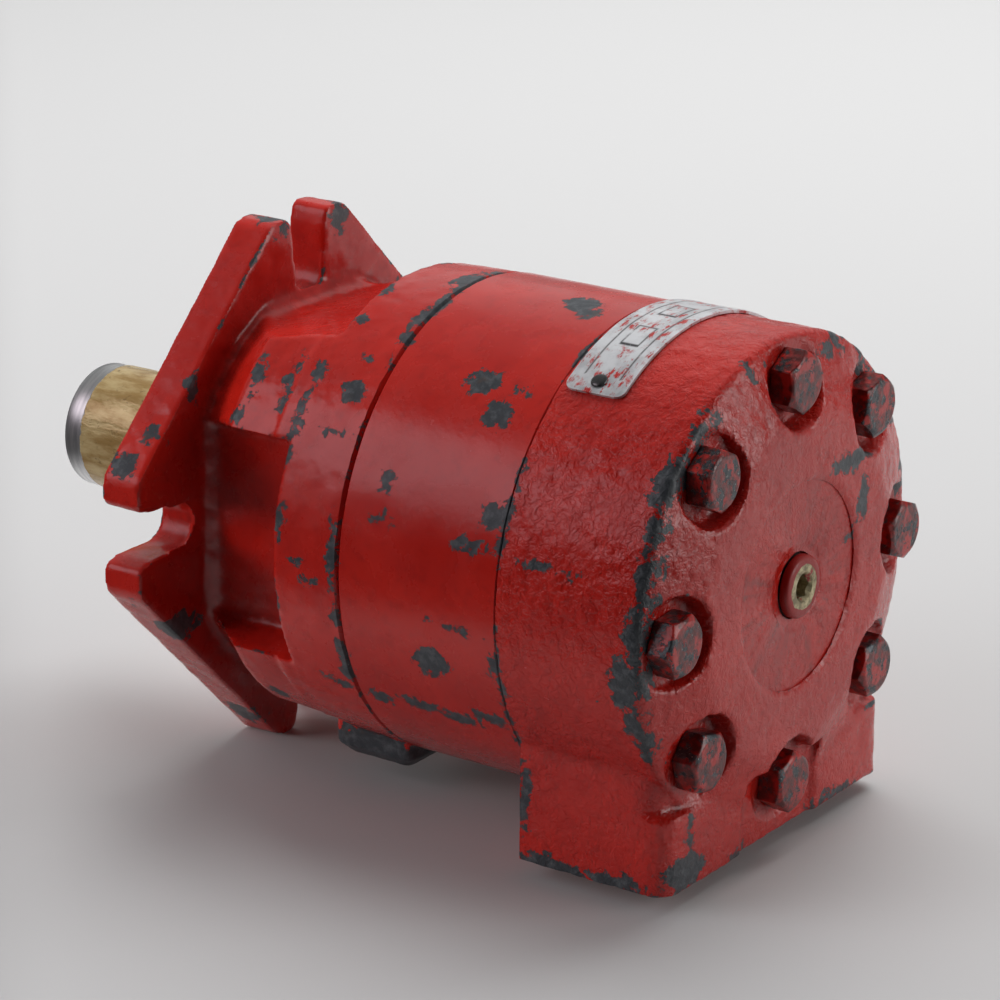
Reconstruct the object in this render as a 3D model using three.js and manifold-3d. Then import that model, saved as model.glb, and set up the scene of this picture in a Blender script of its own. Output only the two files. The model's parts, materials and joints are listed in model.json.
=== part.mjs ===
// Low-speed high-torque orbital hydraulic motor, disc-valve type, rear ported.
//
// Three round sections are stacked along the shaft axis and clamped by eight long hex bolts:
// the end cover with the oil ports, the stator ring with the roller gear set, and the front
// housing with the bearings, the seals and a slotted square mounting flange.
//
// Units are millimetres and +Z is up. Inside the model group +X runs along the shaft axis from
// the rear bolt heads (x = 0) to the shaft tip, and the axis is at y = z = 0. The exported group
// moves this so that the origin is at the middle of the underside of the whole motor.

import * as THREE from 'three';
import { mergeVertices } from 'three/addons/utils/BufferGeometryUtils.js';
import Module from 'manifold-3d';

const wasm = await Module();
wasm.setup();

// ---------------------------------------------------------------- driving dimensions

const GAP = 0.3;                    // clearance kept between pieces that touch

// Stations along the shaft axis
const COVER_REAR = 0.3;             // rear flat of the end cover
const JOINT_REAR = 52.5;            // end cover meets stator ring
const JOINT_FRONT = 105.0;          // stator ring meets front housing
const DRUM_FRONT = 127.6;           // front edge of the front housing's drum
const PAD_FRONT = 149.0;            // where the neck pads start to slope in
const FLANGE_REAR = 166.65;
const FLANGE_FRONT = 179.8;
const PILOT_FRONT = 186.15;
const SHAFT_TIP = 246.2;

// Body
const BODY_R = 69.05;               // end cover and stator ring
const DRUM_R = [68.85, 68.1];       // front housing drum, at its rear and front edges
const EDGE = 0.9;                   // chamfer on the edges beside the front joint
const BOLT_CIRCLE_R = 57.15;
const BOLT_ANGLES = [0, 45, 90, 130.1, 180, 229.9, 270, 315];   // degrees from the top
const BOLT_HOLE_R = 6.0;
const BOLT_END = 125.5;
const SEAT_X = 7.4;                 // floor of the bolt pockets
const POCKET_R = 12.5;
const STACK_BORE_R = 46.9;          // recess that holds the valve plate and the wear plate
const SEAL_GROOVE_R = [48.0, 50.1];
const SEAL_GROOVE_DEPTH = 1.6;

// Hex bolts, 7/16 in with a 5/8 in head
const HEAD_AF = 15.875;
const HEAD_H = 7.1;
const SHANK_R = 5.56;

// Port block under the end cover
const BLOCK_HALF_W = 57.0;
const BLOCK_BOTTOM = -73.5;
const BLOCK_REAR = 5.0;
const BLOCK_LEDGE = -51.0;
const BAY_HALF_W = 19.0;
const BAY_X = 6.6;
const PORT_X = 28.0;
const PORT_Y = 25.0;
const PORT_R = 10.2;
const PORT_FACE_R = 16.5;

// Flange and neck
const FLAT_DISTANCE = 67.0;         // centre to each long side of the square
const TIP_DISTANCE = 78.0;          // centre to each cut-off corner
const TIP_ROUND = 7.0;
const SLOT_END = 53.0;              // closed end of each slot
const SLOT_HALF = 7.15;
const LIP_ROUND = 3.0;
const PAD_R = 67.3;
const PAD_TOE_R = 55.0;             // pads at the flange face
const FLAT_Z = [57.0, 51.0];        // flats above and below the neck, at the drum and the flange
const BAY_FLOOR = 48.0;             // pockets at the sides of the neck
const BAY_HALF = 28.5;
const BAY_SLOPE = 0.33;             // sideways per millimetre outward
const PILOT_R = 41.27;

// Drain boss on the underside, a chamfered square pad with a smaller plug sunk in it
const DRAIN_X = 121.75;
const DRAIN_Y = 17.0;
const DRAIN_FACE = -70.7;
const DRAIN_HALF = 13.75;
const DRAIN_CHAMFER = 3.5;
const DRAIN_DEPTH = 23.0;
const DRAIN_PLUG_SCALE = 0.85;
const DRAIN_THREAD_DEPTH = 15.0;
const DRAIN_PASSAGE = { r: 3.5, top: -12, end: -40 };

// Rear plug, 9/16-18 with an O-ring under the head
const PLUG_HOLE_R = 7.4;
const PLUG_THREAD_R = 6.9;
const PLUG_SINK_R = 9.4;
const PLUG_SINK_DEPTH = 2.1;
const REAR_PLUG_FACE = -0.75;
const REAR_SPOT_X = 2.0;
const REAR_SPOT_R = 12.9;
const RECESS_R = 30.0;
const RECESS_X = 1.3;

// Nameplate on the end cover
const PLATE_X = [32.6, 51.0];
const PLATE_R = [BODY_R + 0.35, BODY_R + 0.95];
const PLATE_ANGLES = [-42, 35.4];   // degrees from the top, towards +Y
const PIN_X = (PLATE_X[0] + PLATE_X[1]) / 2;
const PIN_INSET = 3.4;              // degrees from each end of the plate

// Roller gear set
const LOBES = 6;
const ROLLERS = LOBES + 1;
const ROLLER_CIRCLE_R = 40.5;
const ROLLER_R = 8.0;
const POCKET_CLEAR = 0.22;
const ROTOR_CLEAR = 0.16;
const ECCENTRICITY = 3.2;
const STATOR_BORE_R = 39.5;

// Splines on the two drive links
const TEETH = 12;
const SPLINE = { tip: 14.4, root: 12.2, halfTip: 5.5, halfRoot: 7.2 };
const SPLINE_HOLE = { tip: 15.1, root: 12.9, halfTip: 7.8, halfRoot: 9.6 };

const VALVE_DRIVE_X = [33.5, 66.0]; // centres of the valve drive's two heads
const MAIN_DRIVE_X = [86.0, 134.0]; // centres of the main drive's two heads

// Disc valve, from the floor of its chamber in the end cover forward
const VALVE_REAR = 22.0;
const BALANCE_X = [VALVE_REAR + 1.6, 28.2];
const DISC_X = [28.6, 41.6];
const VALVE_PLATE_X = [41.9, JOINT_REAR - GAP / 2 - 0.15];

// Rotating parts in the front housing
const SHAFT_R = 19.05;
const JOURNAL_R = 28.5;
const CUP_REAR = 113.6;
const CUP_FRONT = 160.0;
const HOUSING_BORE_R = 38.0;
const HOUSING_BORE_END = 162.5;
const SEAL_BORE_R = 27.4;
const REAR_BEARING_X = [116.5, 133.0];
const FRONT_BEARING_X = [142.0, 158.5];
const RACE = { inner: [28.8, 31.0], outer: [35.6, 37.7], pitch: 33.3, roller: 2.0 };
const NEEDLES = 8;                  // in the thrust bearing

// Looks

const STEEL = { color: 0x8b8f94, roughness: 0.35, metalness: 1.0 };
const BRIGHT = { color: 0xc9c8c3, roughness: 0.25, metalness: 1.0 };
const BRONZE = { color: 0xa67c45, roughness: 0.4, metalness: 1.0 };
const PAINT = { color: 0xa51f1a, roughness: 0.35, metalness: 0.0 };
const RUBBER = { color: 0x1b1b1c, roughness: 0.8, metalness: 0.0 };
const PLATE = { color: 0xa3a5a6, roughness: 0.4, metalness: 0.9 };
const VARNISH = { color: 0xbd9c68, roughness: 0.3, metalness: 0.3 };

// Segments round a full circle
const ROUND = { body: 48, bore: 32, part: 20, small: 12, tiny: 8 };

// ---------------------------------------------------------------- solids

const radians = THREE.MathUtils.degToRad;

function signedVolume(position, index) {
  const [a, b, c] = [new THREE.Vector3(), new THREE.Vector3(), new THREE.Vector3()];
  let sum = 0;
  for (let i = 0; i < index.length; i += 3) {
    a.fromBufferAttribute(position, index[i]);
    b.fromBufferAttribute(position, index[i + 1]);
    c.fromBufferAttribute(position, index[i + 2]);
    sum += a.dot(b.cross(c));
  }
  return sum;
}

// Merges the shared vertices of a three.js geometry, drops the empty triangles where a lathe
// meets its axis, and turns the faces outward.
function closed(source) {
  const bare = source.clone();
  for (const name of ['normal', 'uv']) bare.deleteAttribute(name);
  const merged = mergeVertices(bare, 1e-4);
  const all = merged.index.array;
  const kept = [];
  for (let i = 0; i < all.length; i += 3) {
    const [a, b, c] = [all[i], all[i + 1], all[i + 2]];
    if (a !== b && b !== c && a !== c) kept.push(a, b, c);
  }
  if (signedVolume(merged.getAttribute('position'), kept) < 0) kept.reverse();
  merged.setIndex(kept);
  return merged;
}

function solid(source) {
  const geometry = closed(source);
  return new wasm.Manifold(new wasm.Mesh({
    numProp: 3,
    vertProperties: new Float32Array(geometry.getAttribute('position').array),
    triVerts: new Uint32Array(geometry.index.array),
  }));
}

function geometryOf(manifold) {
  const mesh = manifold.getMesh();
  const geometry = new THREE.BufferGeometry();
  geometry.setAttribute('position', new THREE.BufferAttribute(mesh.vertProperties, 3));
  geometry.setIndex(new THREE.BufferAttribute(mesh.triVerts, 1));
  geometry.computeVertexNormals();
  return geometry;
}

// Joins the solids in `joined` and takes away those in `cut`.
function combine(joined, cut = []) {
  let result = solid(joined[0]);
  for (const item of joined.slice(1)) result = result.add(solid(item));
  for (const item of cut) result = result.subtract(solid(item));
  return geometryOf(result);
}

// Turns a profile of [x, radius] points about the X axis. A profile that doesn't start and end
// on the axis closes on itself.
function turned(profile, segments = ROUND.part) {
  const points = profile.map(([x, r]) => new THREE.Vector2(r, x));
  const onAxis = profile[0][1] === 0 && profile.at(-1)[1] === 0;
  if (!onAxis) points.push(points[0].clone());
  return new THREE.LatheGeometry(points, segments).rotateZ(-Math.PI / 2);
}

function disc(x0, x1, r, segments = ROUND.part) {
  return turned([[x0, 0], [x0, r], [x1, r], [x1, 0]], segments);
}

function ring(x0, x1, rIn, rOut, segments = ROUND.part) {
  return turned([[x0, rIn], [x0, rOut], [x1, rOut], [x1, rIn]], segments);
}

// A ring of round section, such as an O-ring.
function cordRing(x, r, cordR, segments = 20) {
  return new THREE.TorusGeometry(r, cordR, 6, segments).rotateY(Math.PI / 2).translate(x, 0, 0);
}

// Extrudes a shape drawn in the Y-Z plane along +X from x0 to x1.
const AXES_YZX = new THREE.Matrix4().makeBasis(
  new THREE.Vector3(0, 1, 0), new THREE.Vector3(0, 0, 1), new THREE.Vector3(1, 0, 0));

function along(x0, x1, shape, curveSegments = 8) {
  const options = { depth: x1 - x0, bevelEnabled: false, curveSegments };
  const geometry = new THREE.ExtrudeGeometry(shape, options);
  return geometry.applyMatrix4(AXES_YZX).translate(x0, 0, 0);
}

function block(low, high) {
  const size = high.map((value, i) => value - low[i]);
  const middle = high.map((value, i) => (value + low[i]) / 2);
  return new THREE.BoxGeometry(...size).translate(...middle);
}

// Draws in the end of an extrusion at x, which makes a chamfer all round it.
function drawnIn(geometry, x, factor) {
  const position = geometry.attributes.position;
  for (let i = 0; i < position.count; i += 1) {
    if (Math.abs(position.getX(i) - x) < 0.001) {
      position.setY(i, position.getY(i) * factor);
      position.setZ(i, position.getZ(i) * factor);
    }
  }
  return geometry;
}

function polygon(points) {
  return new THREE.Shape(points.map(([u, v]) => new THREE.Vector2(u, v)));
}

// A convex outline whose corners are rounded. Each corner is [u, v, radius].
function roundedPoints(corners, steps = 4) {
  const points = [];
  corners.forEach(([u, v, r], i) => {
    const corner = new THREE.Vector2(u, v);
    const before = corners.at(i - 1);
    const after = corners[(i + 1) % corners.length];
    const back = new THREE.Vector2(before[0] - u, before[1] - v).normalize();
    const ahead = new THREE.Vector2(after[0] - u, after[1] - v).normalize();
    if (r === 0) {
      points.push(corner);
      return;
    }
    const half = Math.acos(THREE.MathUtils.clamp(back.dot(ahead), -1, 1)) / 2;
    const start = corner.clone().addScaledVector(back, r / Math.tan(half));
    const end = corner.clone().addScaledVector(ahead, r / Math.tan(half));
    const curve = new THREE.QuadraticBezierCurve(start, corner, end);
    points.push(...curve.getPoints(steps));
  });
  return points;
}

function boltPlaces() {
  return BOLT_ANGLES.map((degrees) => {
    const angle = radians(degrees);
    return { y: -BOLT_CIRCLE_R * Math.sin(angle), z: BOLT_CIRCLE_R * Math.cos(angle) };
  });
}

// Turns a piece made along X so that its +X end points down, and puts it at [x, y, z].
function downward(geometry, [x, y, z]) {
  return geometry.clone().rotateY(Math.PI / 2).translate(x, y, z);
}

// Hex prism with chamfered outer corners, its outer face at x0.
function hexHead(x0, x1, acrossFlats) {
  const cornerR = acrossFlats / Math.sqrt(3);
  const points = [];
  for (let i = 0; i < 6; i += 1) {
    const angle = Math.PI / 3 * i + Math.PI / 6;
    points.push([cornerR * Math.cos(angle), cornerR * Math.sin(angle)]);
  }
  const chamfer = 0.9;
  const faceR = acrossFlats / 2 - 0.2;
  const profile = [
    [x0, 0], [x0, faceR], [x0 + chamfer, cornerR + 0.1], [x1, cornerR + 0.1], [x1, 0],
  ];
  const prism = solid(along(x0, x1, polygon(points)));
  return geometryOf(prism.intersect(solid(turned(profile, 24))));
}

// ---------------------------------------------------------------- splines

// One tooth space or tooth as angles and radii, repeated round the circle.
function splinePoints({ tip, root, halfTip, halfRoot }) {
  const points = [];
  for (let i = 0; i < TEETH; i += 1) {
    const centre = 360 / TEETH * i;
    for (const [r, offset] of [[root, -halfRoot], [tip, -halfTip], [tip, halfTip], [root, halfRoot]]) {
      const angle = radians(centre + offset);
      points.push([r * Math.cos(angle), r * Math.sin(angle)]);
    }
  }
  return points;
}

function splineHole(x0, x1) {
  return along(x0, x1, polygon(splinePoints(SPLINE_HOLE)));
}

// The material between two teeth, as a cutter.
function toothSpace(x0, x1, index) {
  const middle = 360 / TEETH * (index + 0.5);
  const pitch = 180 / TEETH;
  const outer = SPLINE.tip + 2;
  const point = (r, degrees) => [r * Math.cos(radians(degrees)), r * Math.sin(radians(degrees))];
  const atRoot = pitch - SPLINE.halfRoot;
  const atTip = pitch - SPLINE.halfTip + 1.6;
  return along(x0, x1, polygon([
    point(SPLINE.root, middle - atRoot),
    point(outer, middle - atTip),
    point(outer, middle + atTip),
    point(SPLINE.root, middle + atRoot),
  ]));
}

// A double-ended drive link along X, with crowned splined heads centred at x = 0 and x = length.
function driveLink(length, headHalf, waistR) {
  const crown = SPLINE.tip * 0.94;
  const profile = [
    [-headHalf, 0], [-headHalf, crown], [0, SPLINE.tip], [headHalf, crown],
    [headHalf + 5, waistR], [length - headHalf - 5, waistR], [length - headHalf, crown],
    [length, SPLINE.tip], [length + headHalf, crown], [length + headHalf, 0],
  ];
  const spaces = [];
  for (let i = 0; i < TEETH; i += 1) {
    spaces.push(toothSpace(-headHalf - 1, headHalf + 5, i));
    spaces.push(toothSpace(length - headHalf - 5, length + headHalf + 1, i));
  }
  return combine([turned(profile, 2 * TEETH)], spaces);
}

// ---------------------------------------------------------------- housing sections

function flangeShape() {
  const side = FLAT_DISTANCE * Math.SQRT2;
  const tipHalf = side - TIP_DISTANCE;
  const slotFloor = SLOT_END + SLOT_HALF;
  const mouth = SLOT_HALF + 1.4;
  const points = [];
  for (let i = 0; i < 4; i += 1) {
    const turn = Math.PI / 2 * i;
    // One corner of the square with its slot, drawn pointing along +V and then turned.
    const lip = roundedPoints([
      [tipHalf + 20, TIP_DISTANCE - 20, 0], [tipHalf, TIP_DISTANCE, TIP_ROUND],
      [mouth, TIP_DISTANCE, LIP_ROUND], [SLOT_HALF, TIP_DISTANCE - 6, 0],
      [SLOT_HALF, slotFloor, 0],
    ]).slice(1);
    const floor = [];
    for (let step = 1; step < 10; step += 1) {
      const angle = -Math.PI * step / 10;
      floor.push(new THREE.Vector2(SLOT_HALF * Math.cos(angle), slotFloor + SLOT_HALF * Math.sin(angle)));
    }
    const mirrored = lip.map((p) => new THREE.Vector2(-p.x, p.y)).reverse();
    for (const p of [...lip, ...floor, ...mirrored]) {
      points.push(p.clone().rotateAround(new THREE.Vector2(), turn));
    }
  }
  return new THREE.Shape(points);
}

// Room behind each flange slot for the mounting bolt's head: flats above and below, and
// pockets at the sides.
function hollows() {
  const reach = 80;
  const flat = block([DRUM_FRONT, -reach, FLAT_Z[0]], [FLANGE_REAR, reach, reach]);
  const position = flat.attributes.position;
  for (let i = 0; i < position.count; i += 1) {
    const atFlange = Math.abs(position.getX(i) - FLANGE_REAR) < 0.001;
    if (atFlange && position.getZ(i) < reach) position.setZ(i, FLAT_Z[1]);
  }
  const mouth = BAY_HALF + BAY_SLOPE * (reach - BAY_FLOOR);
  const bay = along(DRUM_FRONT, FLANGE_REAR, polygon([
    [-BAY_HALF, BAY_FLOOR], [BAY_HALF, BAY_FLOOR], [mouth, reach], [-mouth, reach],
  ]));
  const quarter = Math.PI / 2;
  return [
    flat, flat.clone().rotateX(2 * quarter),
    bay.clone().rotateX(quarter), bay.clone().rotateX(-quarter),
  ];
}

// The drain boss, its face at x = 0, and below it the stepped hole from that face to the bore.
function drainBoss() {
  const h = DRAIN_HALF;
  const round = 3.0;
  const outline = new THREE.Shape(roundedPoints([
    [-h, -h, round], [h, -h, round], [h, h, round], [-h, h, round],
  ]));
  const tip = along(-DRAIN_CHAMFER, 0, outline);
  return [along(-DRAIN_DEPTH, -DRAIN_CHAMFER, outline), drawnIn(tip, 0, (h - DRAIN_CHAMFER) / h)];
}

function drainHole() {
  const sinkDepth = REAR_SPOT_X - REAR_PLUG_FACE + PLUG_SINK_DEPTH;
  const sink = disc(-sinkDepth, 1, PLUG_SINK_R, ROUND.small);
  const thread = disc(-DRAIN_THREAD_DEPTH, 1, PLUG_HOLE_R, ROUND.small);
  for (const geometry of [sink, thread]) {
    geometry.scale(DRAIN_PLUG_SCALE, DRAIN_PLUG_SCALE, DRAIN_PLUG_SCALE);
  }
  const { r, top, end } = DRAIN_PASSAGE;
  return [sink, thread, disc(end, top, r, ROUND.tiny)];
}

function frontHousing() {
  const rear = JOINT_FRONT + GAP / 2;
  const drum = turned([
    [rear, 0], [rear, DRUM_R[0] - EDGE], [rear + EDGE, DRUM_R[0]],
    [DRUM_FRONT - 0.6, DRUM_R[1]], [DRUM_FRONT, DRUM_R[1] - 0.6], [DRUM_FRONT, 0],
  ], ROUND.body);
  const neck = turned([
    [DRUM_FRONT - 2, 0], [DRUM_FRONT - 2, PAD_R], [PAD_FRONT, PAD_R],
    [FLANGE_REAR, PAD_TOE_R], [FLANGE_REAR, 0],
  ], ROUND.body);
  let neckSolid = solid(neck);
  for (const cutter of hollows()) neckSolid = neckSolid.subtract(solid(cutter));
  const drainSpot = [DRAIN_X, DRAIN_Y, DRAIN_FACE];
  const joined = [
    drum,
    geometryOf(neckSolid),
    along(FLANGE_REAR - 0.01, FLANGE_FRONT, flangeShape()),
    disc(FLANGE_FRONT - 0.5, PILOT_FRONT, PILOT_R, ROUND.bore),
    ...drainBoss().map((geometry) => downward(geometry, drainSpot)),
  ];
  const plateDepth = 5.3;
  const cuts = [
    disc(rear - 1, rear + plateDepth, STACK_BORE_R, ROUND.bore),
    disc(rear, HOUSING_BORE_END, HOUSING_BORE_R, ROUND.bore),
    disc(HOUSING_BORE_END - 1, 174.2, SEAL_BORE_R),
    disc(173, FLANGE_FRONT - 3.6, SHAFT_R + 1.2),
    disc(FLANGE_FRONT - 3.8, PILOT_FRONT + 1, SEAL_BORE_R - 1.6),
    ring(rear - 1, rear + SEAL_GROOVE_DEPTH, ...SEAL_GROOVE_R, ROUND.bore),
    ...drainHole().map((geometry) => downward(geometry, drainSpot)),
  ];
  for (const { y, z } of boltPlaces()) {
    cuts.push(disc(rear - 1, BOLT_END + 1.5, BOLT_HOLE_R, ROUND.small).translate(0, y, z));
  }
  return combine(joined, cuts);
}

function statorRing() {
  const rear = JOINT_REAR + GAP / 2;
  const front = JOINT_FRONT - GAP / 2;
  const outer = turned([
    [rear, 0], [rear, BODY_R - 0.3], [rear + 0.3, BODY_R],
    [front - EDGE, BODY_R], [front, BODY_R - EDGE], [front, 0],
  ], ROUND.body);
  const cuts = [disc(rear - 1, front + 1, STATOR_BORE_R, 42)];
  for (let i = 0; i < ROLLERS; i += 1) {
    const angle = 2 * Math.PI * i / ROLLERS;
    const pocket = disc(rear - 1, front + 1, ROLLER_R + POCKET_CLEAR, 18);
    const [y, z] = [ROLLER_CIRCLE_R * Math.cos(angle), ROLLER_CIRCLE_R * Math.sin(angle)];
    cuts.push(pocket.translate(0, y, z));
  }
  for (const { y, z } of boltPlaces()) {
    cuts.push(disc(rear - 1, front + 1, BOLT_HOLE_R, ROUND.small).translate(0, y, z));
  }
  return combine([outer], cuts);
}

// The port block: a box with rounded rear corners, deeper beside the bottom bolt.
function portBlock() {
  const front = JOINT_REAR - GAP / 2;
  const plan = (rear) => {
    const corners = [
      [rear, -BLOCK_HALF_W, 7], [front, -BLOCK_HALF_W, 0], [front, BLOCK_HALF_W, 0],
      [rear, BLOCK_HALF_W, 7],
    ];
    return new THREE.Shape(roundedPoints(corners));
  };
  const upright = (rear, z0, z1) => {
    const options = { depth: z1 - z0, bevelEnabled: false };
    return new THREE.ExtrudeGeometry(plan(rear), options).translate(0, 0, z0);
  };
  return [
    upright(BLOCK_REAR, BLOCK_BOTTOM, BLOCK_LEDGE),
    upright(BLOCK_REAR + 3.6, BLOCK_LEDGE - 1, -20),
  ];
}

function nameplatePinHoles() {
  return nameplatePins().map(({ angle }) => {
    const hole = disc(60, 75, 1.5, ROUND.tiny).rotateY(-Math.PI / 2);
    return hole.rotateX(-angle).translate(PIN_X, 0, 0);
  });
}

function endCover() {
  const front = JOINT_REAR - GAP / 2;
  const body = turned([
    [COVER_REAR, 0], [COVER_REAR, 45.0], [1.3, 50.5], [4.2, 59.5], [7.2, 67.4], [8.6, BODY_R],
    [front - 0.3, BODY_R], [front, BODY_R - 0.3], [front, 0],
  ], ROUND.body);
  const cuts = [
    disc(-1, RECESS_X, RECESS_R, ROUND.bore),
    disc(-1, REAR_SPOT_X, REAR_SPOT_R),
    disc(-1, REAR_SPOT_X + PLUG_SINK_DEPTH, PLUG_SINK_R, ROUND.small),
    disc(-1, 24, PLUG_HOLE_R, ROUND.small),
    disc(VALVE_REAR, front + 1, STACK_BORE_R, ROUND.bore),
    ring(front - SEAL_GROOVE_DEPTH, front + 1, ...SEAL_GROOVE_R, ROUND.bore),
    block([-5, -BAY_HALF_W, BLOCK_BOTTOM - 5], [BAY_X, BAY_HALF_W, BLOCK_LEDGE]),
    ...nameplatePinHoles(),
  ];
  for (const side of [-1, 1]) {
    const mouth = [PORT_X, side * PORT_Y, BLOCK_BOTTOM];
    cuts.push(downward(disc(-1.2, 1, PORT_FACE_R), mouth));
    cuts.push(downward(disc(-20, 1, PORT_R, 24), mouth));
    cuts.push(downward(disc(-45, -19, 5.5, ROUND.tiny), mouth));
  }
  for (const { y, z } of boltPlaces()) {
    cuts.push(disc(-5, SEAT_X, POCKET_R).translate(0, y, z));
    cuts.push(disc(0, front + 1, BOLT_HOLE_R, ROUND.small).translate(0, y, z));
  }
  return combine([body, ...portBlock()], cuts);
}

// ---------------------------------------------------------------- fasteners and trim

function coverBolt() {
  const head = hexHead(0, HEAD_H, HEAD_AF);
  const shank = turned([
    [HEAD_H - 0.5, 0], [HEAD_H - 0.5, SHANK_R], [BOLT_END - 1, SHANK_R],
    [BOLT_END, SHANK_R - 1], [BOLT_END, 0],
  ], ROUND.small);
  return combine([head, shank]);
}

// A plug with its head's outer face at x = 0 and its thread towards +X.
function socketPlug() {
  const headH = REAR_SPOT_X - REAR_PLUG_FACE - GAP;
  const body = turned([
    [0, 0], [0, 8.3], [0.6, 8.9], [headH, 8.9], [headH, PLUG_THREAD_R], [13, PLUG_THREAD_R],
    [14, PLUG_THREAD_R - 1], [14, 0],
  ], ROUND.part);
  const socketR = 6.35 / Math.sqrt(3);
  const socket = [];
  for (let i = 0; i < 6; i += 1) {
    socket.push([socketR * Math.cos(Math.PI / 3 * i), socketR * Math.sin(Math.PI / 3 * i)]);
  }
  return combine([body], [along(-1, 6, polygon(socket))]);
}

function nameplatePins() {
  const angles = [PLATE_ANGLES[1] - PIN_INSET, PLATE_ANGLES[0] + PIN_INSET];
  return angles.map((degrees) => ({ angle: radians(degrees) }));
}

function nameplate() {
  const points = [];
  const steps = 20;
  for (const [r, forward] of [[PLATE_R[1], true], [PLATE_R[0], false]]) {
    for (let i = 0; i <= steps; i += 1) {
      const t = (forward ? i : steps - i) / steps;
      const angle = radians(THREE.MathUtils.lerp(...PLATE_ANGLES, t));
      points.push([r * Math.sin(angle), r * Math.cos(angle)]);
    }
  }
  return combine([along(...PLATE_X, polygon(points))], nameplatePinHoles());
}

// A domed drive rivet, made along X with its head outward.
function nameplatePin() {
  const seat = PLATE_R[1] + GAP;
  return turned([
    [BODY_R - 6, 0], [BODY_R - 6, 1.1], [seat, 1.1], [seat, 2.3], [seat + 0.5, 1.9],
    [seat + 0.8, 0],
  ], ROUND.tiny);
}

// ---------------------------------------------------------------- gear set

// The outline of the rotor: the path of a roller's centre seen from the rotor, moved inward by
// the roller's radius.
function rotorPoints(count = 120) {
  const points = [];
  for (let i = 0; i < count; i += 1) {
    const s = 2 * Math.PI * i / count;
    const fast = ROLLERS * s;
    const u = ROLLER_CIRCLE_R * Math.cos(s) - ECCENTRICITY * Math.cos(fast);
    const v = ROLLER_CIRCLE_R * Math.sin(s) - ECCENTRICITY * Math.sin(fast);
    const du = -ROLLER_CIRCLE_R * Math.sin(s) + ROLLERS * ECCENTRICITY * Math.sin(fast);
    const dv = ROLLER_CIRCLE_R * Math.cos(s) - ROLLERS * ECCENTRICITY * Math.cos(fast);
    const inward = (ROLLER_R + ROTOR_CLEAR) / Math.hypot(du, dv);
    points.push([u - dv * inward, v + du * inward]);
  }
  return points;
}

function rotor() {
  const rear = JOINT_REAR + GAP + 0.15;
  const front = JOINT_FRONT - GAP - 0.15;
  const shape = polygon(rotorPoints());
  const hole = splinePoints(SPLINE_HOLE).map(([u, v]) => new THREE.Vector2(u, v));
  shape.holes.push(new THREE.Path(hole));
  return along(rear, front, shape);
}

function roller() {
  const rear = JOINT_REAR + GAP + 0.15;
  const front = JOINT_FRONT - GAP - 0.15;
  const corner = 0.4;
  return turned([
    [rear, 0], [rear, ROLLER_R - corner], [rear + corner, ROLLER_R],
    [front - corner, ROLLER_R], [front, ROLLER_R - corner], [front, 0],
  ], 18);
}

// ---------------------------------------------------------------- valve

function rodRing(x0, x1, count, r, rodR, phase = 0) {
  const rods = [];
  for (let i = 0; i < count; i += 1) {
    const angle = 2 * Math.PI * i / count + phase;
    rods.push(disc(x0, x1, rodR, ROUND.tiny).translate(0, r * Math.cos(angle), r * Math.sin(angle)));
  }
  return rods;
}

function valvePlate() {
  const [rear, front] = VALVE_PLATE_X;
  const body = ring(rear, front, 13.2, STACK_BORE_R - GAP, ROUND.bore);
  const phase = Math.PI / ROLLERS;
  return combine([body], rodRing(rear - 1, front + 1, ROLLERS, 36.5, 2.6, phase));
}

function discValve() {
  const [rear, front] = DISC_X;
  const body = turned([
    [rear, 0], [rear, 30.0], [rear + 4, 30.0], [rear + 4, 42.0], [front, 42.0], [front, 0],
  ], ROUND.bore);
  const ports = rodRing(rear + 3, front + 1, 2 * LOBES, 36.5, 2.2);
  return combine([body], [splineHole(rear - 1, front + 1), ...ports]);
}

function balanceRing() {
  const [rear, front] = BALANCE_X;
  const pinHoles = balancePinPlaces().map(([y, z]) =>
    disc(rear - 1, rear + 3, 1.9, ROUND.tiny).translate(0, y, z));
  return combine([turned([
    [rear, 18.0], [rear, 33.4], [rear + 2.2, 33.4], [rear + 2.2, 31.0], [rear + 4, 31.0],
    [rear + 4, 33.4], [front, 33.4], [front, 18.0], [rear + 3.4, 18.0], [rear + 3.4, 20.0],
    [rear + 1.6, 20.0], [rear + 1.6, 18.0],
  ], ROUND.bore)], pinHoles);
}

function balancePinPlaces() {
  return [[26.0, 0], [-26.0, 0]];
}

function balancePin() {
  return disc(VALVE_REAR + GAP, BALANCE_X[0] + 2.5, 1.6, ROUND.tiny);
}

// ---------------------------------------------------------------- shaft and bearings

function outputShaft() {
  const body = turned([
    [CUP_REAR, 0], [CUP_REAR, 27.6], [CUP_REAR + 0.9, JOURNAL_R], [CUP_FRONT, JOURNAL_R],
    [CUP_FRONT, 24.0], [163.0, 24.0], [163.0, SHAFT_R], [SHAFT_TIP - 0.8, SHAFT_R],
    [SHAFT_TIP, SHAFT_R - 0.8], [SHAFT_TIP, 0],
  ], ROUND.bore);
  const mouth = disc(CUP_REAR - 1, 125, 16.6);
  const relief = disc(143, 150, 15.8);
  const centre = turned([
    [SHAFT_TIP - 9, 0], [SHAFT_TIP - 8, 1.6], [SHAFT_TIP - 3, 1.6], [SHAFT_TIP + 0.5, 5.1],
    [SHAFT_TIP + 0.5, 0],
  ], ROUND.small);
  return combine([body], [mouth, splineHole(124, 144), relief, centre]);
}

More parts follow.
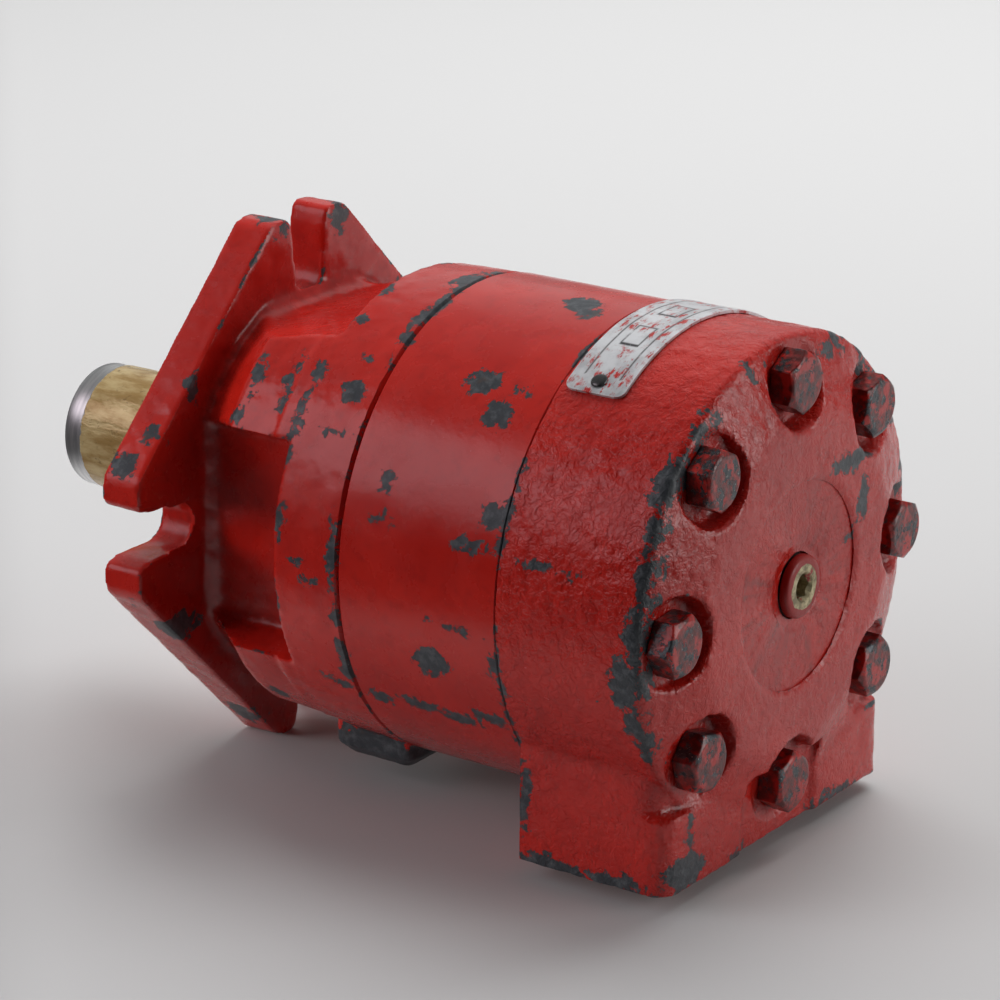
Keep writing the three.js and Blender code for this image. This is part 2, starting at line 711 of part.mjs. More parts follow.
// The rollers and the cage that spaces them, as one piece.
function rollerCage([x0, x1], count = 10) {
  const inset = 1.2;
  const middle = (x0 + x1) / 2;
  const cage = ring(middle - 2, middle + 2, RACE.pitch - 1.0, RACE.pitch + 1.0, 24);
  return combine([cage, ...rodRing(x0 + inset, x1 - inset, count, RACE.pitch, RACE.roller)]);
}

function thrustBearing() {
  const x0 = JOINT_FRONT + 6.2;
  const needleR = 0.95;
  const cage = ring(x0 + 0.5, x0 + 1.4, 19.5, 28.0);
  const needles = [];
  for (let i = 0; i < NEEDLES; i += 1) {
    const needle = disc(20.4, 27.0, needleR, 6).rotateY(-Math.PI / 2);
    needles.push(needle.rotateX(2 * Math.PI * i / NEEDLES).translate(x0 + needleR, 0, 0));
  }
  return combine([cage, ...needles]);
}

function shaftSeal() {
  return turned([
    [164.2, 19.4], [164.2, 20.6], [167.0, 20.6], [167.0, 25.0], [164.2, 25.0], [164.2, 27.1],
    [169.6, 27.1], [169.6, 19.4],
  ]);
}

function dustSeal() {
  const x0 = FLANGE_FRONT - 3.3;
  return turned([
    [x0, 19.4], [x0, 25.4], [x0 + 4.6, 25.4], [x0 + 4.6, 21.6], [x0 + 7.0, 20.0],
    [x0 + 7.0, 19.4],
  ]);
}

// ---------------------------------------------------------------- assembly

const model = new THREE.Group();

function piece(name, geometry, look, parent = model) {
  const mesh = new THREE.Mesh(closed(geometry), new THREE.MeshStandardMaterial({ ...look }));
  mesh.name = name;
  parent.add(mesh);
  return mesh;
}

function addCasing() {
  piece('front_housing', frontHousing(), PAINT);
  piece('stator_ring', statorRing(), PAINT);
  piece('end_cover', endCover(), PAINT);
  const sealR = (SEAL_GROOVE_R[0] + SEAL_GROOVE_R[1]) / 2;
  const sealX = SEAL_GROOVE_DEPTH / 2 + GAP / 2;
  piece('rear_body_seal', cordRing(JOINT_REAR - sealX, sealR, 0.7, ROUND.bore), RUBBER);
  piece('front_body_seal', cordRing(JOINT_FRONT + sealX, sealR, 0.7, ROUND.bore), RUBBER);
  boltPlaces().forEach(({ y, z }, i) => {
    piece(`cover_bolt_${i + 1}`, coverBolt(), PAINT).position.set(0, y, z);
  });
}

function addTrim() {
  piece('nameplate', nameplate(), PLATE);
  nameplatePins().forEach(({ angle }, i) => {
    // The holder turns the pin from the top of the barrel to its own angle.
    const holder = new THREE.Group();
    holder.position.x = PIN_X;
    holder.rotation.x = -angle;
    model.add(holder);
    piece(`nameplate_pin_${i + 1}`, nameplatePin(), PLATE, holder).rotation.y = -Math.PI / 2;
  });
  piece('rear_plug', socketPlug(), BRONZE).position.x = REAR_PLUG_FACE;
  const plugSeal = cordRing(REAR_SPOT_X - REAR_PLUG_FACE + 1.1, 8.1, 0.85);
  piece('rear_plug_seal', plugSeal, RUBBER).position.x = REAR_PLUG_FACE;
  const drain = new THREE.Group();
  drain.position.set(DRAIN_X, DRAIN_Y, DRAIN_FACE);
  drain.rotation.y = -Math.PI / 2;
  model.add(drain);
  const shrink = [DRAIN_PLUG_SCALE, DRAIN_PLUG_SCALE, DRAIN_PLUG_SCALE];
  piece('drain_plug', socketPlug().scale(...shrink), STEEL, drain);
  piece('drain_plug_seal', plugSeal.clone().scale(...shrink), RUBBER, drain);
}

function addGearSet() {
  const offset = new THREE.Group();
  offset.position.y = ECCENTRICITY;
  model.add(offset);
  piece('rotor', rotor(), STEEL, offset);
  piece('drive_spacer', disc(73.2, 77.2, 11.5), BRONZE, offset);
  for (let i = 0; i < ROLLERS; i += 1) {
    const angle = 2 * Math.PI * i / ROLLERS;
    const [y, z] = [ROLLER_CIRCLE_R * Math.cos(angle), ROLLER_CIRCLE_R * Math.sin(angle)];
    piece(`roller_${i + 1}`, roller(), STEEL).position.set(0, y, z);
  }
}

// A link from the point (x0, y0) to (x1, y1) in the X-Y plane.
function addLink(name, [x0, y0], [x1, y1], headHalf, waistR) {
  const length = Math.hypot(x1 - x0, y1 - y0);
  const link = piece(name, driveLink(length, headHalf, waistR), STEEL);
  link.position.set(x0, y0, 0);
  link.rotation.z = Math.atan2(y1 - y0, x1 - x0);
}

function addDrives() {
  const [valveEnd, rotorRear] = VALVE_DRIVE_X;
  const [rotorFront, shaftEnd] = MAIN_DRIVE_X;
  addLink('valve_drive', [valveEnd, 0], [rotorRear, ECCENTRICITY], 4.2, 8.0);
  addLink('drive_link', [rotorFront, ECCENTRICITY], [shaftEnd, 0], 7.5, 9.6);
}

function addValve() {
  piece('valve_plate', valvePlate(), STEEL);
  piece('disc_valve', discValve(), STEEL);
  piece('balance_ring', balanceRing(), STEEL);
  piece('balance_outer_seal', cordRing(BALANCE_X[0] + 3.1, 32.3, 0.65, ROUND.bore), RUBBER);
  piece('balance_inner_seal', cordRing(BALANCE_X[0] + 2.5, 18.9, 0.65, ROUND.bore), RUBBER);
  balancePinPlaces().forEach(([y, z], i) => {
    piece(`balance_pin_${i + 1}`, balancePin(), STEEL).position.set(0, y, z);
  });
}

function addShaft() {
  piece('output_shaft', outputShaft(), VARNISH);
  const [raceIn, raceOut] = [RACE.inner, RACE.outer];
  for (const [name, span] of [['front', FRONT_BEARING_X], ['rear', REAR_BEARING_X]]) {
    piece(`${name}_bearing_inner_race`, ring(...span, ...raceIn, ROUND.bore), BRIGHT);
    piece(`${name}_bearing_outer_race`, ring(...span, ...raceOut, ROUND.bore), BRIGHT);
    piece(`${name}_bearing_rollers`, rollerCage(span), BRIGHT);
  }
  piece('bearing_spacer', ring(133.4, 141.6, ...RACE.outer, ROUND.bore), STEEL);
  piece('wear_plate', ring(JOINT_FRONT + 0.45, JOINT_FRONT + 5.1, 19.0,
    STACK_BORE_R - GAP, ROUND.bore), STEEL);
  piece('thrust_bearing', thrustBearing(), BRIGHT);
  piece('shaft_seal', shaftSeal(), RUBBER);
  piece('seal_backup_washer', ring(170.0, 171.6, 19.5, 27.1), STEEL);
  piece('dust_seal', dustSeal(), RUBBER);
}

addCasing();
addTrim();
addGearSet();
addDrives();
addValve();
addShaft();

const group = new THREE.Group();
group.name = 'hydraulic_motor';
model.position.set(-(REAR_PLUG_FACE + SHAFT_TIP) / 2, 0, TIP_DISTANCE);
group.add(model);

export default group;
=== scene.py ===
import json
import math
import random

import bmesh
import bpy
import numpy as np
from mathutils import Matrix, Vector, noise


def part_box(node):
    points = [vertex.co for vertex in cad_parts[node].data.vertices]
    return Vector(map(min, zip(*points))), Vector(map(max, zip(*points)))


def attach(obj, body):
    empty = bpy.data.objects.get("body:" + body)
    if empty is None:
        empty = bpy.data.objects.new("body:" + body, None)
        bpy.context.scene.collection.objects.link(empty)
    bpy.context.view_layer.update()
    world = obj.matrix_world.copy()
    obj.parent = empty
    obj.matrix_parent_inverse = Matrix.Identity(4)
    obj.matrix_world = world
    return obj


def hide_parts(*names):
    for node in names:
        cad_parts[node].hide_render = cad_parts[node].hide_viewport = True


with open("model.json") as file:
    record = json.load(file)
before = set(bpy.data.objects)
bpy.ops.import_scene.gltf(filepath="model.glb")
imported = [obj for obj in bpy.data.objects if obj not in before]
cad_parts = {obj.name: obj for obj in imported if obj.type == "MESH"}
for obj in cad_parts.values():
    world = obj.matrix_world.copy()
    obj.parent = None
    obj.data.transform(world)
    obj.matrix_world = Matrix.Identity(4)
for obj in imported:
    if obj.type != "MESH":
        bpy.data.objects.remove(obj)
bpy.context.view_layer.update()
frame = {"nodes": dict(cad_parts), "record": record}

# The motor's looks. Shapes are made in millimetres in the motor's own axes: +X runs along the
# shaft from the rear bolt heads to the shaft tip, and the shaft axis is at y = z = 0. place()
# then moves a finished mesh into the frame that the CAD model is in, in metres.

MM = 0.001
SHAFT_LOW, SHAFT_HIGH = (Vector(corner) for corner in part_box("output_shaft"))
SHAFT_MIDDLE = (SHAFT_LOW + SHAFT_HIGH) / 2
ORIGIN = Vector((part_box("cover_bolt_1")[0][0], SHAFT_MIDDLE.y, SHAFT_MIDDLE.z))


def local_box(node):
    """A CAD node's lowest and highest corners in millimetres, in the motor's own axes."""
    return [(Vector(corner) - ORIGIN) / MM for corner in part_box(node)]


# ---------------- sizes

COVER_LOW, COVER_HIGH = local_box("end_cover")
STATOR_LOW, STATOR_HIGH = local_box("stator_ring")
HOUSING_LOW, HOUSING_HIGH = local_box("front_housing")
PLATE_LOW, PLATE_HIGH = local_box("nameplate")
BODY_R = STATOR_HIGH.z
JOINT_REAR = COVER_HIGH.x  # front face of the end cover
JOINT_FRONT = HOUSING_LOW.x  # rear face of the front housing
FLANGE_THICKNESS = 13.15
PILOT_LENGTH = 6.35
PILOT_FRONT = HOUSING_HIGH.x
FLANGE_FRONT = PILOT_FRONT - PILOT_LENGTH
FLANGE_REAR = FLANGE_FRONT - FLANGE_THICKNESS
DRUM_FRONT = 127.6
PAD_FRONT = 149.0
PAD_R = 67.3
PAD_TOE_R = 55.0
FLAT_HEIGHT = (57.0, 51.0)  # flats above and below the neck, at the drum and the flange
NECK_BAY_FLOOR = 48.0
NECK_BAY_HALF = 28.5
NECK_BAY_SLOPE = 0.33  # sideways per millimetre outward
COVE_R = 6.5  # the round corner where the neck meets the flange
FLAT_DISTANCE = 67.0
TIP_DISTANCE = HOUSING_HIGH.z
SLOT_END = 53.0
SLOT_HALF = 7.15
BOLT_CIRCLE_R = 57.15
BOLT_ANGLES = (0, 45, 90, 130.1, 180, 229.9, 270, 315)
BOLT_HOLE_R = 6.0
SEAT_X = 7.4
POCKET_R = 12.5
STACK_BORE_R = 46.9
BLOCK_HALF_W = 57.0
BLOCK_BOTTOM = COVER_LOW.z
BLOCK_REAR = 5.0
BLOCK_LEDGE = -51.0
BAY_HALF_W = 19.0
BAY_X = 6.6
PORT_X = 28.0
PORT_Y = 25.0
PORT_R = 10.2
DRAIN_LOW, DRAIN_HIGH = local_box("drain_plug")
DRAIN_X, DRAIN_Y = (DRAIN_LOW.x + DRAIN_HIGH.x) / 2, (DRAIN_LOW.y + DRAIN_HIGH.y) / 2
DRAIN_FACE = DRAIN_LOW.z
DRAIN_HALF = 13.75
DRAIN_CHAMFER = 3.5
DRAIN_SCALE = 0.85  # the drain plug against the rear plug
SHAFT_R = 19.05
COAT_START = 187.5  # where the dried film on the shaft starts to show
COAT_END = 239.7  # and where it stops
SHAFT_REAR = 113.6
SHAFT_STEP = 163.0  # where the bearing seats end and the plain shaft begins
SHAFT_BARE_R = 18.7  # the bare end, without the film
BEYOND = 90.0  # farther out than any part of the motor
DRUM_REAR_R, DRUM_FRONT_R = 68.85, 68.1
PILOT_R, PILOT_EDGE_R = 41.27, 40.5
SEAL_GROOVE_R = (48.0, 50.1)  # O-ring groove in the face of each section
NECK_BORE_R, NECK_BORE_END = 38.0, 162.5
BEARING_BORE_R, BEARING_BORE_END = 27.4, 174.2
SEAL_BORE_R = 25.8
STATOR_BORE_R = 39.5
ROLLERS = 7
ROLLER_CIRCLE_R = 40.5
ROLLER_POCKET_R = 8.2
COVER_BORE_START = 22.0
RECESS_R = 29.2  # the shallow round recess in the rear face
PLUG_LAND_R = 12.9
PLUG_SEAT_R, PLUG_SEAT_DEPTH = 9.4, 4.85
PLUG_HOLE_R = 7.4
PORT_SEAT_R = 16.5
PORT_PASSAGE_R = 5.5
DRAIN_PASSAGE_R = 3.5
PIN_HOLE_R = 1.5
HEAD_AF, HEAD_H, SHANK_R, BOLT_END = 15.875, 7.1, 5.56, 125.5
BOLT_TURNS = (0, 12, -9, 21, 5, -17, 26, -4)  # degrees, as each was left after tightening
PIN_X = (PLATE_LOW.x + PLATE_HIGH.x) / 2
PLATE_R = BODY_R + 0.35
PLATE_THICK = 0.55
PLATE_FROM, PLATE_TO, PIN_INSET = -42.0, 35.4, 3.4  # degrees from the top towards +Y
PLATE_CORNER_R = 2.6
PLATE_RIM = 0.16  # height of the pressed rim
PLATE_SINK = 0.16  # how far the lower skin sits below PLATE_R
PLATE_LIFT, PLATE_LIFT_MOST = 0.22, 0.3
PLATE_ROWS, PLATE_COLUMNS = 40, 170
CAST_VOXEL, CAST_SOFTNESS = 0.95, 3

# ---------------- mesh tools


def new_object(name, verts, faces):
    mesh = bpy.data.meshes.new(name)
    mesh.from_pydata([tuple(v) for v in verts], [], faces)
    obj = bpy.data.objects.new(name, mesh)
    bpy.context.scene.collection.objects.link(obj)
    work = bmesh.new()
    work.from_mesh(mesh)
    bmesh.ops.recalc_face_normals(work, faces=work.faces)
    work.to_mesh(mesh)
    work.free()
    return obj


def turned(profile, segments=192):
    """Turns [x, radius] points about the X axis. A profile off the axis closes on itself."""
    verts, rows = [], []
    for x, r in profile:
        if r < 1e-6:
            rows.append([len(verts)] * segments)
            verts.append((x, 0.0, 0.0))
            continue
        rows.append(list(range(len(verts), len(verts) + segments)))
        for i in range(segments):
            angle = 2 * math.pi * i / segments
            verts.append((x, r * math.cos(angle), r * math.sin(angle)))
    if profile[0][1] > 1e-6 or profile[-1][1] > 1e-6:
        rows.append(rows[0])
    faces = []
    for low, high in zip(rows, rows[1:]):
        for i in range(segments):
            j = (i + 1) % segments
            face = list(dict.fromkeys([low[i], low[j], high[j], high[i]]))
            if len(face) > 2:
                faces.append(face)
    return new_object("turned", verts, faces)


def disc(x0, x1, r, segments=96):
    return turned([(x0, 0), (x0, r), (x1, r), (x1, 0)], segments)


def ring(x0, x1, r_in, r_out, segments=192):
    return turned([(x0, r_in), (x0, r_out), (x1, r_out), (x1, r_in)], segments)


def extruded(points, x0, x1):
    """Extrudes a [y, z] outline along X."""
    count = len(points)
    verts = [(x, y, z) for x in (x0, x1) for y, z in points]
    faces = [list(range(count)), list(range(count, 2 * count))]
    for i in range(count):
        j = (i + 1) % count
        faces.append([i, j, count + j, count + i])
    obj = new_object("extruded", verts, faces)
    work = bmesh.new()
    work.from_mesh(obj.data)
    caps = [f for f in work.faces if len(f.verts) > 4]
    bmesh.ops.triangulate(work, faces=caps)
    work.to_mesh(obj.data)
    work.free()
    return obj


def block(low, high):
    points = [(low[1], low[2]), (high[1], low[2]), (high[1], high[2]), (low[1], high[2])]
    return extruded(points, low[0], high[0])


def moved(obj, offset=(0, 0, 0), turn=None):
    """Turns a mesh about the origin by a matrix, then moves it."""
    if turn is not None:
        obj.data.transform(turn)
    obj.data.transform(Matrix.Translation(offset))
    return obj


def spun(obj, degrees):
    return moved(obj, turn=Matrix.Rotation(math.radians(degrees), 4, "X"))


def downward(obj, offset):
    """Turns a mesh made along X so that its +X end points down."""
    return moved(obj, offset, Matrix.Rotation(math.pi / 2, 4, "Y"))


def apply_modifiers(obj):
    depsgraph = bpy.context.evaluated_depsgraph_get()
    old = obj.data
    fresh = bpy.data.meshes.new_from_object(obj.evaluated_get(depsgraph))
    obj.modifiers.clear()
    obj.data = fresh
    bpy.data.meshes.remove(old)
    return obj


def boolean(target, others, operation):
    for other in others:
        modifier = target.modifiers.new("boolean", "BOOLEAN")
        modifier.operation = operation
        modifier.solver = "MANIFOLD"
        modifier.object = other
        apply_modifiers(target)
        bpy.data.objects.remove(other)
    return target


def join(target, *others):
    return boolean(target, others, "UNION")


def cut(target, *others):
    return boolean(target, others, "DIFFERENCE")


def keep(target, *others):
    return boolean(target, others, "INTERSECT")


def bevelled(obj, width, segments=3, angle=35):
    modifier = obj.modifiers.new("bevel", "BEVEL")
    modifier.width = width
    modifier.segments = segments
    modifier.limit_method = "ANGLE"
    modifier.angle_limit = math.radians(angle)
    return apply_modifiers(obj)


def as_cast(obj, voxel, softness):
    """Rebuilds the surface as one even skin and rounds its edges, as a casting has them."""
    skin = obj.modifiers.new("skin", "REMESH")
    skin.mode = "VOXEL"
    skin.voxel_size = voxel
    soften = obj.modifiers.new("soften", "SMOOTH")
    soften.factor = 0.5
    soften.iterations = softness
    return apply_modifiers(obj)


# Turns a mesh drawn along X as (height, x) so that it lies across the motor.
ACROSS = Matrix(((0, 0, 1, 0), (1, 0, 0, 0), (0, 1, 0, 0), (0, 0, 0, 1)))


def vertex_vectors(obj, name):
    values = np.empty(len(obj.data.vertices) * 3)
    obj.data.vertices.foreach_get(name, values)
    return values.reshape(-1, 3)


def coordinates(obj):
    return vertex_vectors(obj, "co")


def normals(obj):
    return vertex_vectors(obj, "normal")


def set_coordinates(obj, co):
    obj.data.vertices.foreach_set("co", co.ravel())
    obj.data.update()


def held_in(obj, low, high):
    """Keeps a roughened casting inside the box of its CAD node."""
    set_coordinates(obj, np.clip(coordinates(obj), low, high))


def roughen(obj, amplitude, size, octaves=3, seed=0.0):
    """Pushes the surface in and out by smooth noise, like the skin of a sand casting."""
    co = coordinates(obj)
    offset = Vector((seed, 3.1 * seed, 7.7 * seed))
    height = np.array([
        noise.fractal(Vector(point) / size + offset, 1.0, 2.0, octaves) for point in co])
    set_coordinates(obj, co + normals(obj) * (amplitude * height)[:, None])
    return obj


# ---------------- wear and painted corner shade

# The larger chips on the barrel: station, degrees from the top towards +Y, half length along
# the axis and half width round the barrel.
BARREL_CHIPS = [
    (113, 47, 4, 4), (125, 27, 2.5, 2), (114, 38, 2, 1), (114, 57, 2.5, 0.6), (112, 120, 5, 2),
    (120, 89, 2, 1.5), (114, 92, 3, 1.5), (107, 84, 1.5, 8), (108, 3, 4, 6), (106, 20, 2, 5),
    (75, 38, 5, 4.5), (66, 45, 4.5, 4), (62, 38, 2.5, 1.5), (68, 5, 6, 5), (63, 9, 3, 3),
    (92, 65, 2, 3), (91, 74, 3.5, 1.8), (57, 68, 3.5, 3.5), (62, 75, 5, 2), (75, 105, 6, 4.5),
    (68, 95, 4.5, 1), (97, 121, 5, 2.5), (84, 120, 8, 2), (71, 121, 6, 2), (60, 118, 6, 2),
    (41, 76, 5, 0.9), (31, 76, 3, 0.9), (10, 53, 3.5, 7), (9, 63, 2, 7), (8.5, 74, 2, 8),
    (9.5, 86, 3, 8), (12, 98, 4.5, 8), (11, 108, 2.5, 5), (84, -40, 5, 4), (62, -80, 6, 2.5),
    (95, -65, 3, 5), (88, -140, 6, 3), (66, 165, 6, 4), (9, -75, 2.5, 7),
]
BARREL_FROM_R = 62.0  # barrel chips touch nothing nearer to the axis
UNCHIPPED = -30.0  # the chip depth of a point far from every chip

# Strings of small chips: station, from and to in degrees, and how many.
CHIP_STRINGS = [
    (8, 15, 115, 18), (8.5, -120, -20, 14), (52.5, 60, 125, 9), (106.5, -40, 50, 12),
    (106.5, 80, 150, 8), (106.5, -150, -60, 8), (127, -100, 100, 14),
]

# Chips elsewhere: a middle point and half sizes along X, Y and Z.
SPOT_CHIPS = [
    # Rear face and its rim
    (1, -25, 29, 3, 10, 3), (1, -32, 16, 3, 3, 6), (1, -26, 7, 3, 1.5, 4),
    (3, -22, 62, 4, 8, 3), (4, 10, 66, 3, 4, 3),
    # Port block
    (5, 47, -68, 6, 9, 5), (5, 46, -57, 3, 2, 5), (5, 20, -72, 3, 4, 2), (5, -28, -72, 3, 12, 2),
    (42, 57, -72, 12, 3, 2.5), (20, 57, -72, 8, 3, 2.5), (51, 57, -55, 2, 3, 8),
    (30, -57, -71, 9, 3, 3), (44, -57, -48, 4, 3, 3),
    # Flange tips and edges
    (172, 12, 75, 6, 5, 4), (168, -14, 74, 3, 4, 5), (167, 54, 40, 2, 2, 5),
    (171, 65, 26, 3, 4, 4), (175, 72, 19, 6, 5, 4), (168, 62, -30, 4, 9, 5), (173, 72, -17, 4, 4, 3),
    (173, 26, -69, 5, 9, 4), (172, -44, 48, 5, 5, 5), (173, -62, -31, 5, 5, 5),
    (180, 30, 55, 3, 6, 3), (180, -52, 20, 3, 4, 6),
    # Neck pads
    (148, 57, 35, 2, 2, 3), (146, 49, 46, 2, 6, 6), (135, 50, 45, 1.5, 7, 7),
    (140, -47, 47, 3, 3, 3), (144, 46, -49, 3, 3, 3),
    # Drain boss, nearly bare
    (DRAIN_X, DRAIN_Y + 4, DRAIN_FACE + 2, 20, 20, 11),
]


def strung_chips():
    """Small chips strewn along the edges in CHIP_STRINGS, the same ones every run."""
    draw = random.Random(11)
    for station, start, end, count in CHIP_STRINGS:
        for _ in range(count):
            yield (station + draw.uniform(-1, 1), draw.uniform(start, end),
                   draw.uniform(0.8, 2.4), draw.uniform(1.2, 4.5))


def chip_depth(co):
    """How far each point is inside the nearest chip, in millimetres; negative outside."""
    depth = np.full(len(co), UNCHIPPED)
    radius = np.hypot(co[:, 1], co[:, 2])
    angle = np.degrees(np.arctan2(co[:, 1], co[:, 2]))
    on_barrel = radius > BARREL_FROM_R
    for x, at, half_x, half_arc in BARREL_CHIPS + list(strung_chips()):
        turn = (angle - at + 180) % 360 - 180
        far = np.hypot((co[:, 0] - x) / half_x, np.radians(turn) * radius / half_arc)
        inside = (1 - far) * min(half_x, half_arc)
        depth = np.where(on_barrel, np.maximum(depth, inside), depth)
    for *middle, half_x, half_y, half_z in SPOT_CHIPS:
        sizes = np.array((half_x, half_y, half_z))
        far = np.linalg.norm((co - np.array(middle)) / sizes, axis=1)
        depth = np.maximum(depth, (1 - far) * sizes.min())
    return depth


def edge_list(obj):
    pairs = np.empty(len(obj.data.edges) * 2, dtype=np.int64)
    obj.data.edges.foreach_get("vertices", pairs)
    return pairs.reshape(-1, 2)


def blurred(values, pairs, passes):
    degree = np.bincount(pairs.ravel(), minlength=len(values)) + 1.0
    for _ in range(passes):
        total = values.copy()
        np.add.at(total, pairs[:, 0], values[pairs[:, 1]])
        np.add.at(total, pairs[:, 1], values[pairs[:, 0]])
        values = total / degree
    return values


def bend(obj, passes=2):
    """Curvature at each vertex in 1/mm: positive on outer edges, negative in corners."""
    co, pairs = coordinates(obj), edge_list(obj)
    step = co[pairs[:, 1]] - co[pairs[:, 0]]
    length2 = (step ** 2).sum(axis=1) + 1e-9
    weighted = step / length2[:, None]
    pull = np.zeros_like(co)
    np.add.at(pull, pairs[:, 0], weighted)
    np.add.at(pull, pairs[:, 1], -weighted)
    degree = np.bincount(pairs.ravel(), minlength=len(co))
    value = -(pull * normals(obj)).sum(axis=1) * 2 / np.maximum(degree, 1)
    return blurred(np.clip(value, -1.5, 1.5), pairs, passes)


def store(obj, name, values):
    attribute = obj.data.attributes.new(name, "FLOAT", "POINT")
    attribute.data.foreach_set("value", np.asarray(values, dtype=np.float32))


def weather_and_corner_shade(obj, edge_scale=0.30, chips=True):
    """Stores what the paint needs: `chip`, how deep a point lies in a placed chip in
    millimetres, `edge`, 1 on sharp outer edges, and `corner_shade_and_grime`, 1 in sharp
    corners, where it darkens the paint as painted shade and grime."""
    curve = bend(obj)
    store(obj, "edge", np.clip(curve / edge_scale, 0, 1.2))
    depth = chip_depth(coordinates(obj)) if chips else np.full(len(curve), UNCHIPPED)
    store(obj, "chip", depth)
    # Painted shade and grime: how far into a sharp corner each point lies.
    store(obj, "corner_shade_and_grime", np.clip(-blurred(curve, edge_list(obj), 4) * 2.5, 0, 0.55))
    return obj


def shade_smooth(obj, angle=32):
    """Smooth shading, with the edges sharper than `angle` left sharp."""
    obj.data.shade_smooth()
    obj.data.set_sharp_from_angle(angle=math.radians(angle))
    return obj


# ---------------- materials


class Material:
    """A node material, with short calls for the nodes that this scene uses."""

    def __init__(self, name):
        self.material = bpy.data.materials.new(name)
        self.material.use_nodes = True
        self.tree = self.material.node_tree
        self.shader = self.tree.nodes["Principled BSDF"]
        coords = self.tree.nodes.new("ShaderNodeTexCoord")
        self.mm = self.vector("SCALE", coords.outputs["Object"], scale=1 / MM)

    def feed(self, socket, value):
        if isinstance(value, bpy.types.NodeSocket):
            self.tree.links.new(value, socket)
        elif value is not None:
            socket.default_value = value

    def vector(self, operation, a, b=None, scale=None):
        node = self.tree.nodes.new("ShaderNodeVectorMath")
        node.operation = operation
        self.feed(node.inputs[0], a)
        if b is not None:
            self.feed(node.inputs[1], b)
        if scale is not None:
            node.inputs["Scale"].default_value = scale
        return node.outputs["Vector"]

    def dot(self, a, b):
        node = self.tree.nodes.new("ShaderNodeVectorMath")
        node.operation = "DOT_PRODUCT"
        self.feed(node.inputs[0], a)
        self.feed(node.inputs[1], b)
        return node.outputs["Value"]

    def math(self, operation, a, b=None, c=None, clamp=False):
        node = self.tree.nodes.new("ShaderNodeMath")
        node.operation = operation
        node.use_clamp = clamp
        for socket, value in zip(node.inputs, (a, b, c)):
            self.feed(socket, value)
        return node.outputs[0]

    def noise(self, size, detail=2.0, roughness=0.5, stretch=None, distortion=0.0, shift=0.0):
        """Noise with features about `size` millimetres across, around 0.5."""
        where = self.mm
        if stretch is not None:
            where = self.vector("MULTIPLY", where, stretch)
        if shift:
            where = self.vector("ADD", where, (shift, shift * 0.7, -shift))
        node = self.tree.nodes.new("ShaderNodeTexNoise")
        self.feed(node.inputs["Vector"], where)
        node.inputs["Scale"].default_value = 1 / size
        node.inputs["Detail"].default_value = detail
        node.inputs["Roughness"].default_value = roughness
        node.inputs["Distortion"].default_value = distortion
        return node.outputs["Fac"]

    def attribute(self, name):
        node = self.tree.nodes.new("ShaderNodeAttribute")
        node.attribute_name = name
        return node.outputs["Fac"]

    def span(self, value, low, high, to_low=0.0, to_high=1.0):
        """Maps low..high to to_low..to_high, clamped, with a smooth start and end."""
        node = self.tree.nodes.new("ShaderNodeMapRange")
        node.interpolation_type = "SMOOTHSTEP"
        for socket, number in zip(node.inputs, (value, low, high, to_low, to_high)):
            self.feed(socket, number)
        return node.outputs["Result"]

    def mix(self, share, a, b):
        node = self.tree.nodes.new("ShaderNodeMix")
        node.data_type = "RGBA"
        self.feed(node.inputs[0], share)
        self.feed(node.inputs[6], a)
        self.feed(node.inputs[7], b)
        return node.outputs[2]

    def blend(self, share, a, b):
        node = self.tree.nodes.new("ShaderNodeMix")
        self.feed(node.inputs[0], share)
        self.feed(node.inputs[2], a)
        self.feed(node.inputs[3], b)
        return node.outputs[0]

    def bump(self, height, distance, strength=1.0, after=None):
        """Height is in millimetres times 1 / distance."""
        node = self.tree.nodes.new("ShaderNodeBump")
        node.inputs["Strength"].default_value = strength
        node.inputs["Distance"].default_value = distance * MM
        self.feed(node.inputs["Height"], height)
        if after is not None:
            self.feed(node.inputs["Normal"], after)
        return node.outputs["Normal"]

    def set(self, **sockets):
        for name, value in sockets.items():
            self.feed(self.shader.inputs[name.replace("_", " ")], value)
        return self.material


def colour(red, green, blue):
    return (red, green, blue, 1.0)


RED_DEEP = colour(0.27, 0.006, 0.004)
RED = colour(0.40, 0.010, 0.006)
RED_BRIGHT = colour(0.47, 0.013, 0.007)
RED_DARK = colour(0.07, 0.004, 0.003)
IRON = colour(0.032, 0.037, 0.043)
IRON_PALE = colour(0.085, 0.092, 0.100)
RUST = colour(0.085, 0.045, 0.026)
# Pale grey of scuffed bare metal, also used for painted glints.
SCUFF_AND_GLINT = colour(0.34, 0.33, 0.31)


def bare_share(m, wear, specks):
    """1 where the paint has come off: in placed chips, along worn edges and in stray specks."""
    lobes = m.math("SUBTRACT", m.noise(3.4, 5, 0.68, distortion=0.5), 0.5)
    nicks = m.math("SUBTRACT", m.noise(0.8, 3, 0.65), 0.5)
    ragged = m.math("MULTIPLY_ADD", lobes, 11.0, m.math("MULTIPLY", nicks, 1.8))
    depth = m.math("ADD", ragged, m.attribute("chip"))
    stretches = m.math("MULTIPLY_ADD", m.noise(21, 4, 0.6, shift=90.0), 13.0, -8.9)
    edge = m.math("MULTIPLY_ADD", m.attribute("edge"), 3.6 * wear, -2.6)
    edge = m.math("ADD", m.math("ADD", edge, stretches), m.math("MULTIPLY", ragged, 0.7))
    on_edge = m.span(m.attribute("edge"), 0.12, 0.3, -40, 0)
    depth = m.math("MAXIMUM", depth, m.math("ADD", edge, on_edge))
    clusters = m.span(m.noise(34, 2, 0.5, shift=55.0), 0.46, 0.62, 0.05, -0.03)
    speck = m.math("SUBTRACT", m.noise(4.6, 5, 0.7, shift=31.0), clusters)
    depth = m.math("MAXIMUM", depth, m.span(speck, 0.715, 0.745, -40, specks))
    return m.span(depth, -0.05, 0.10)


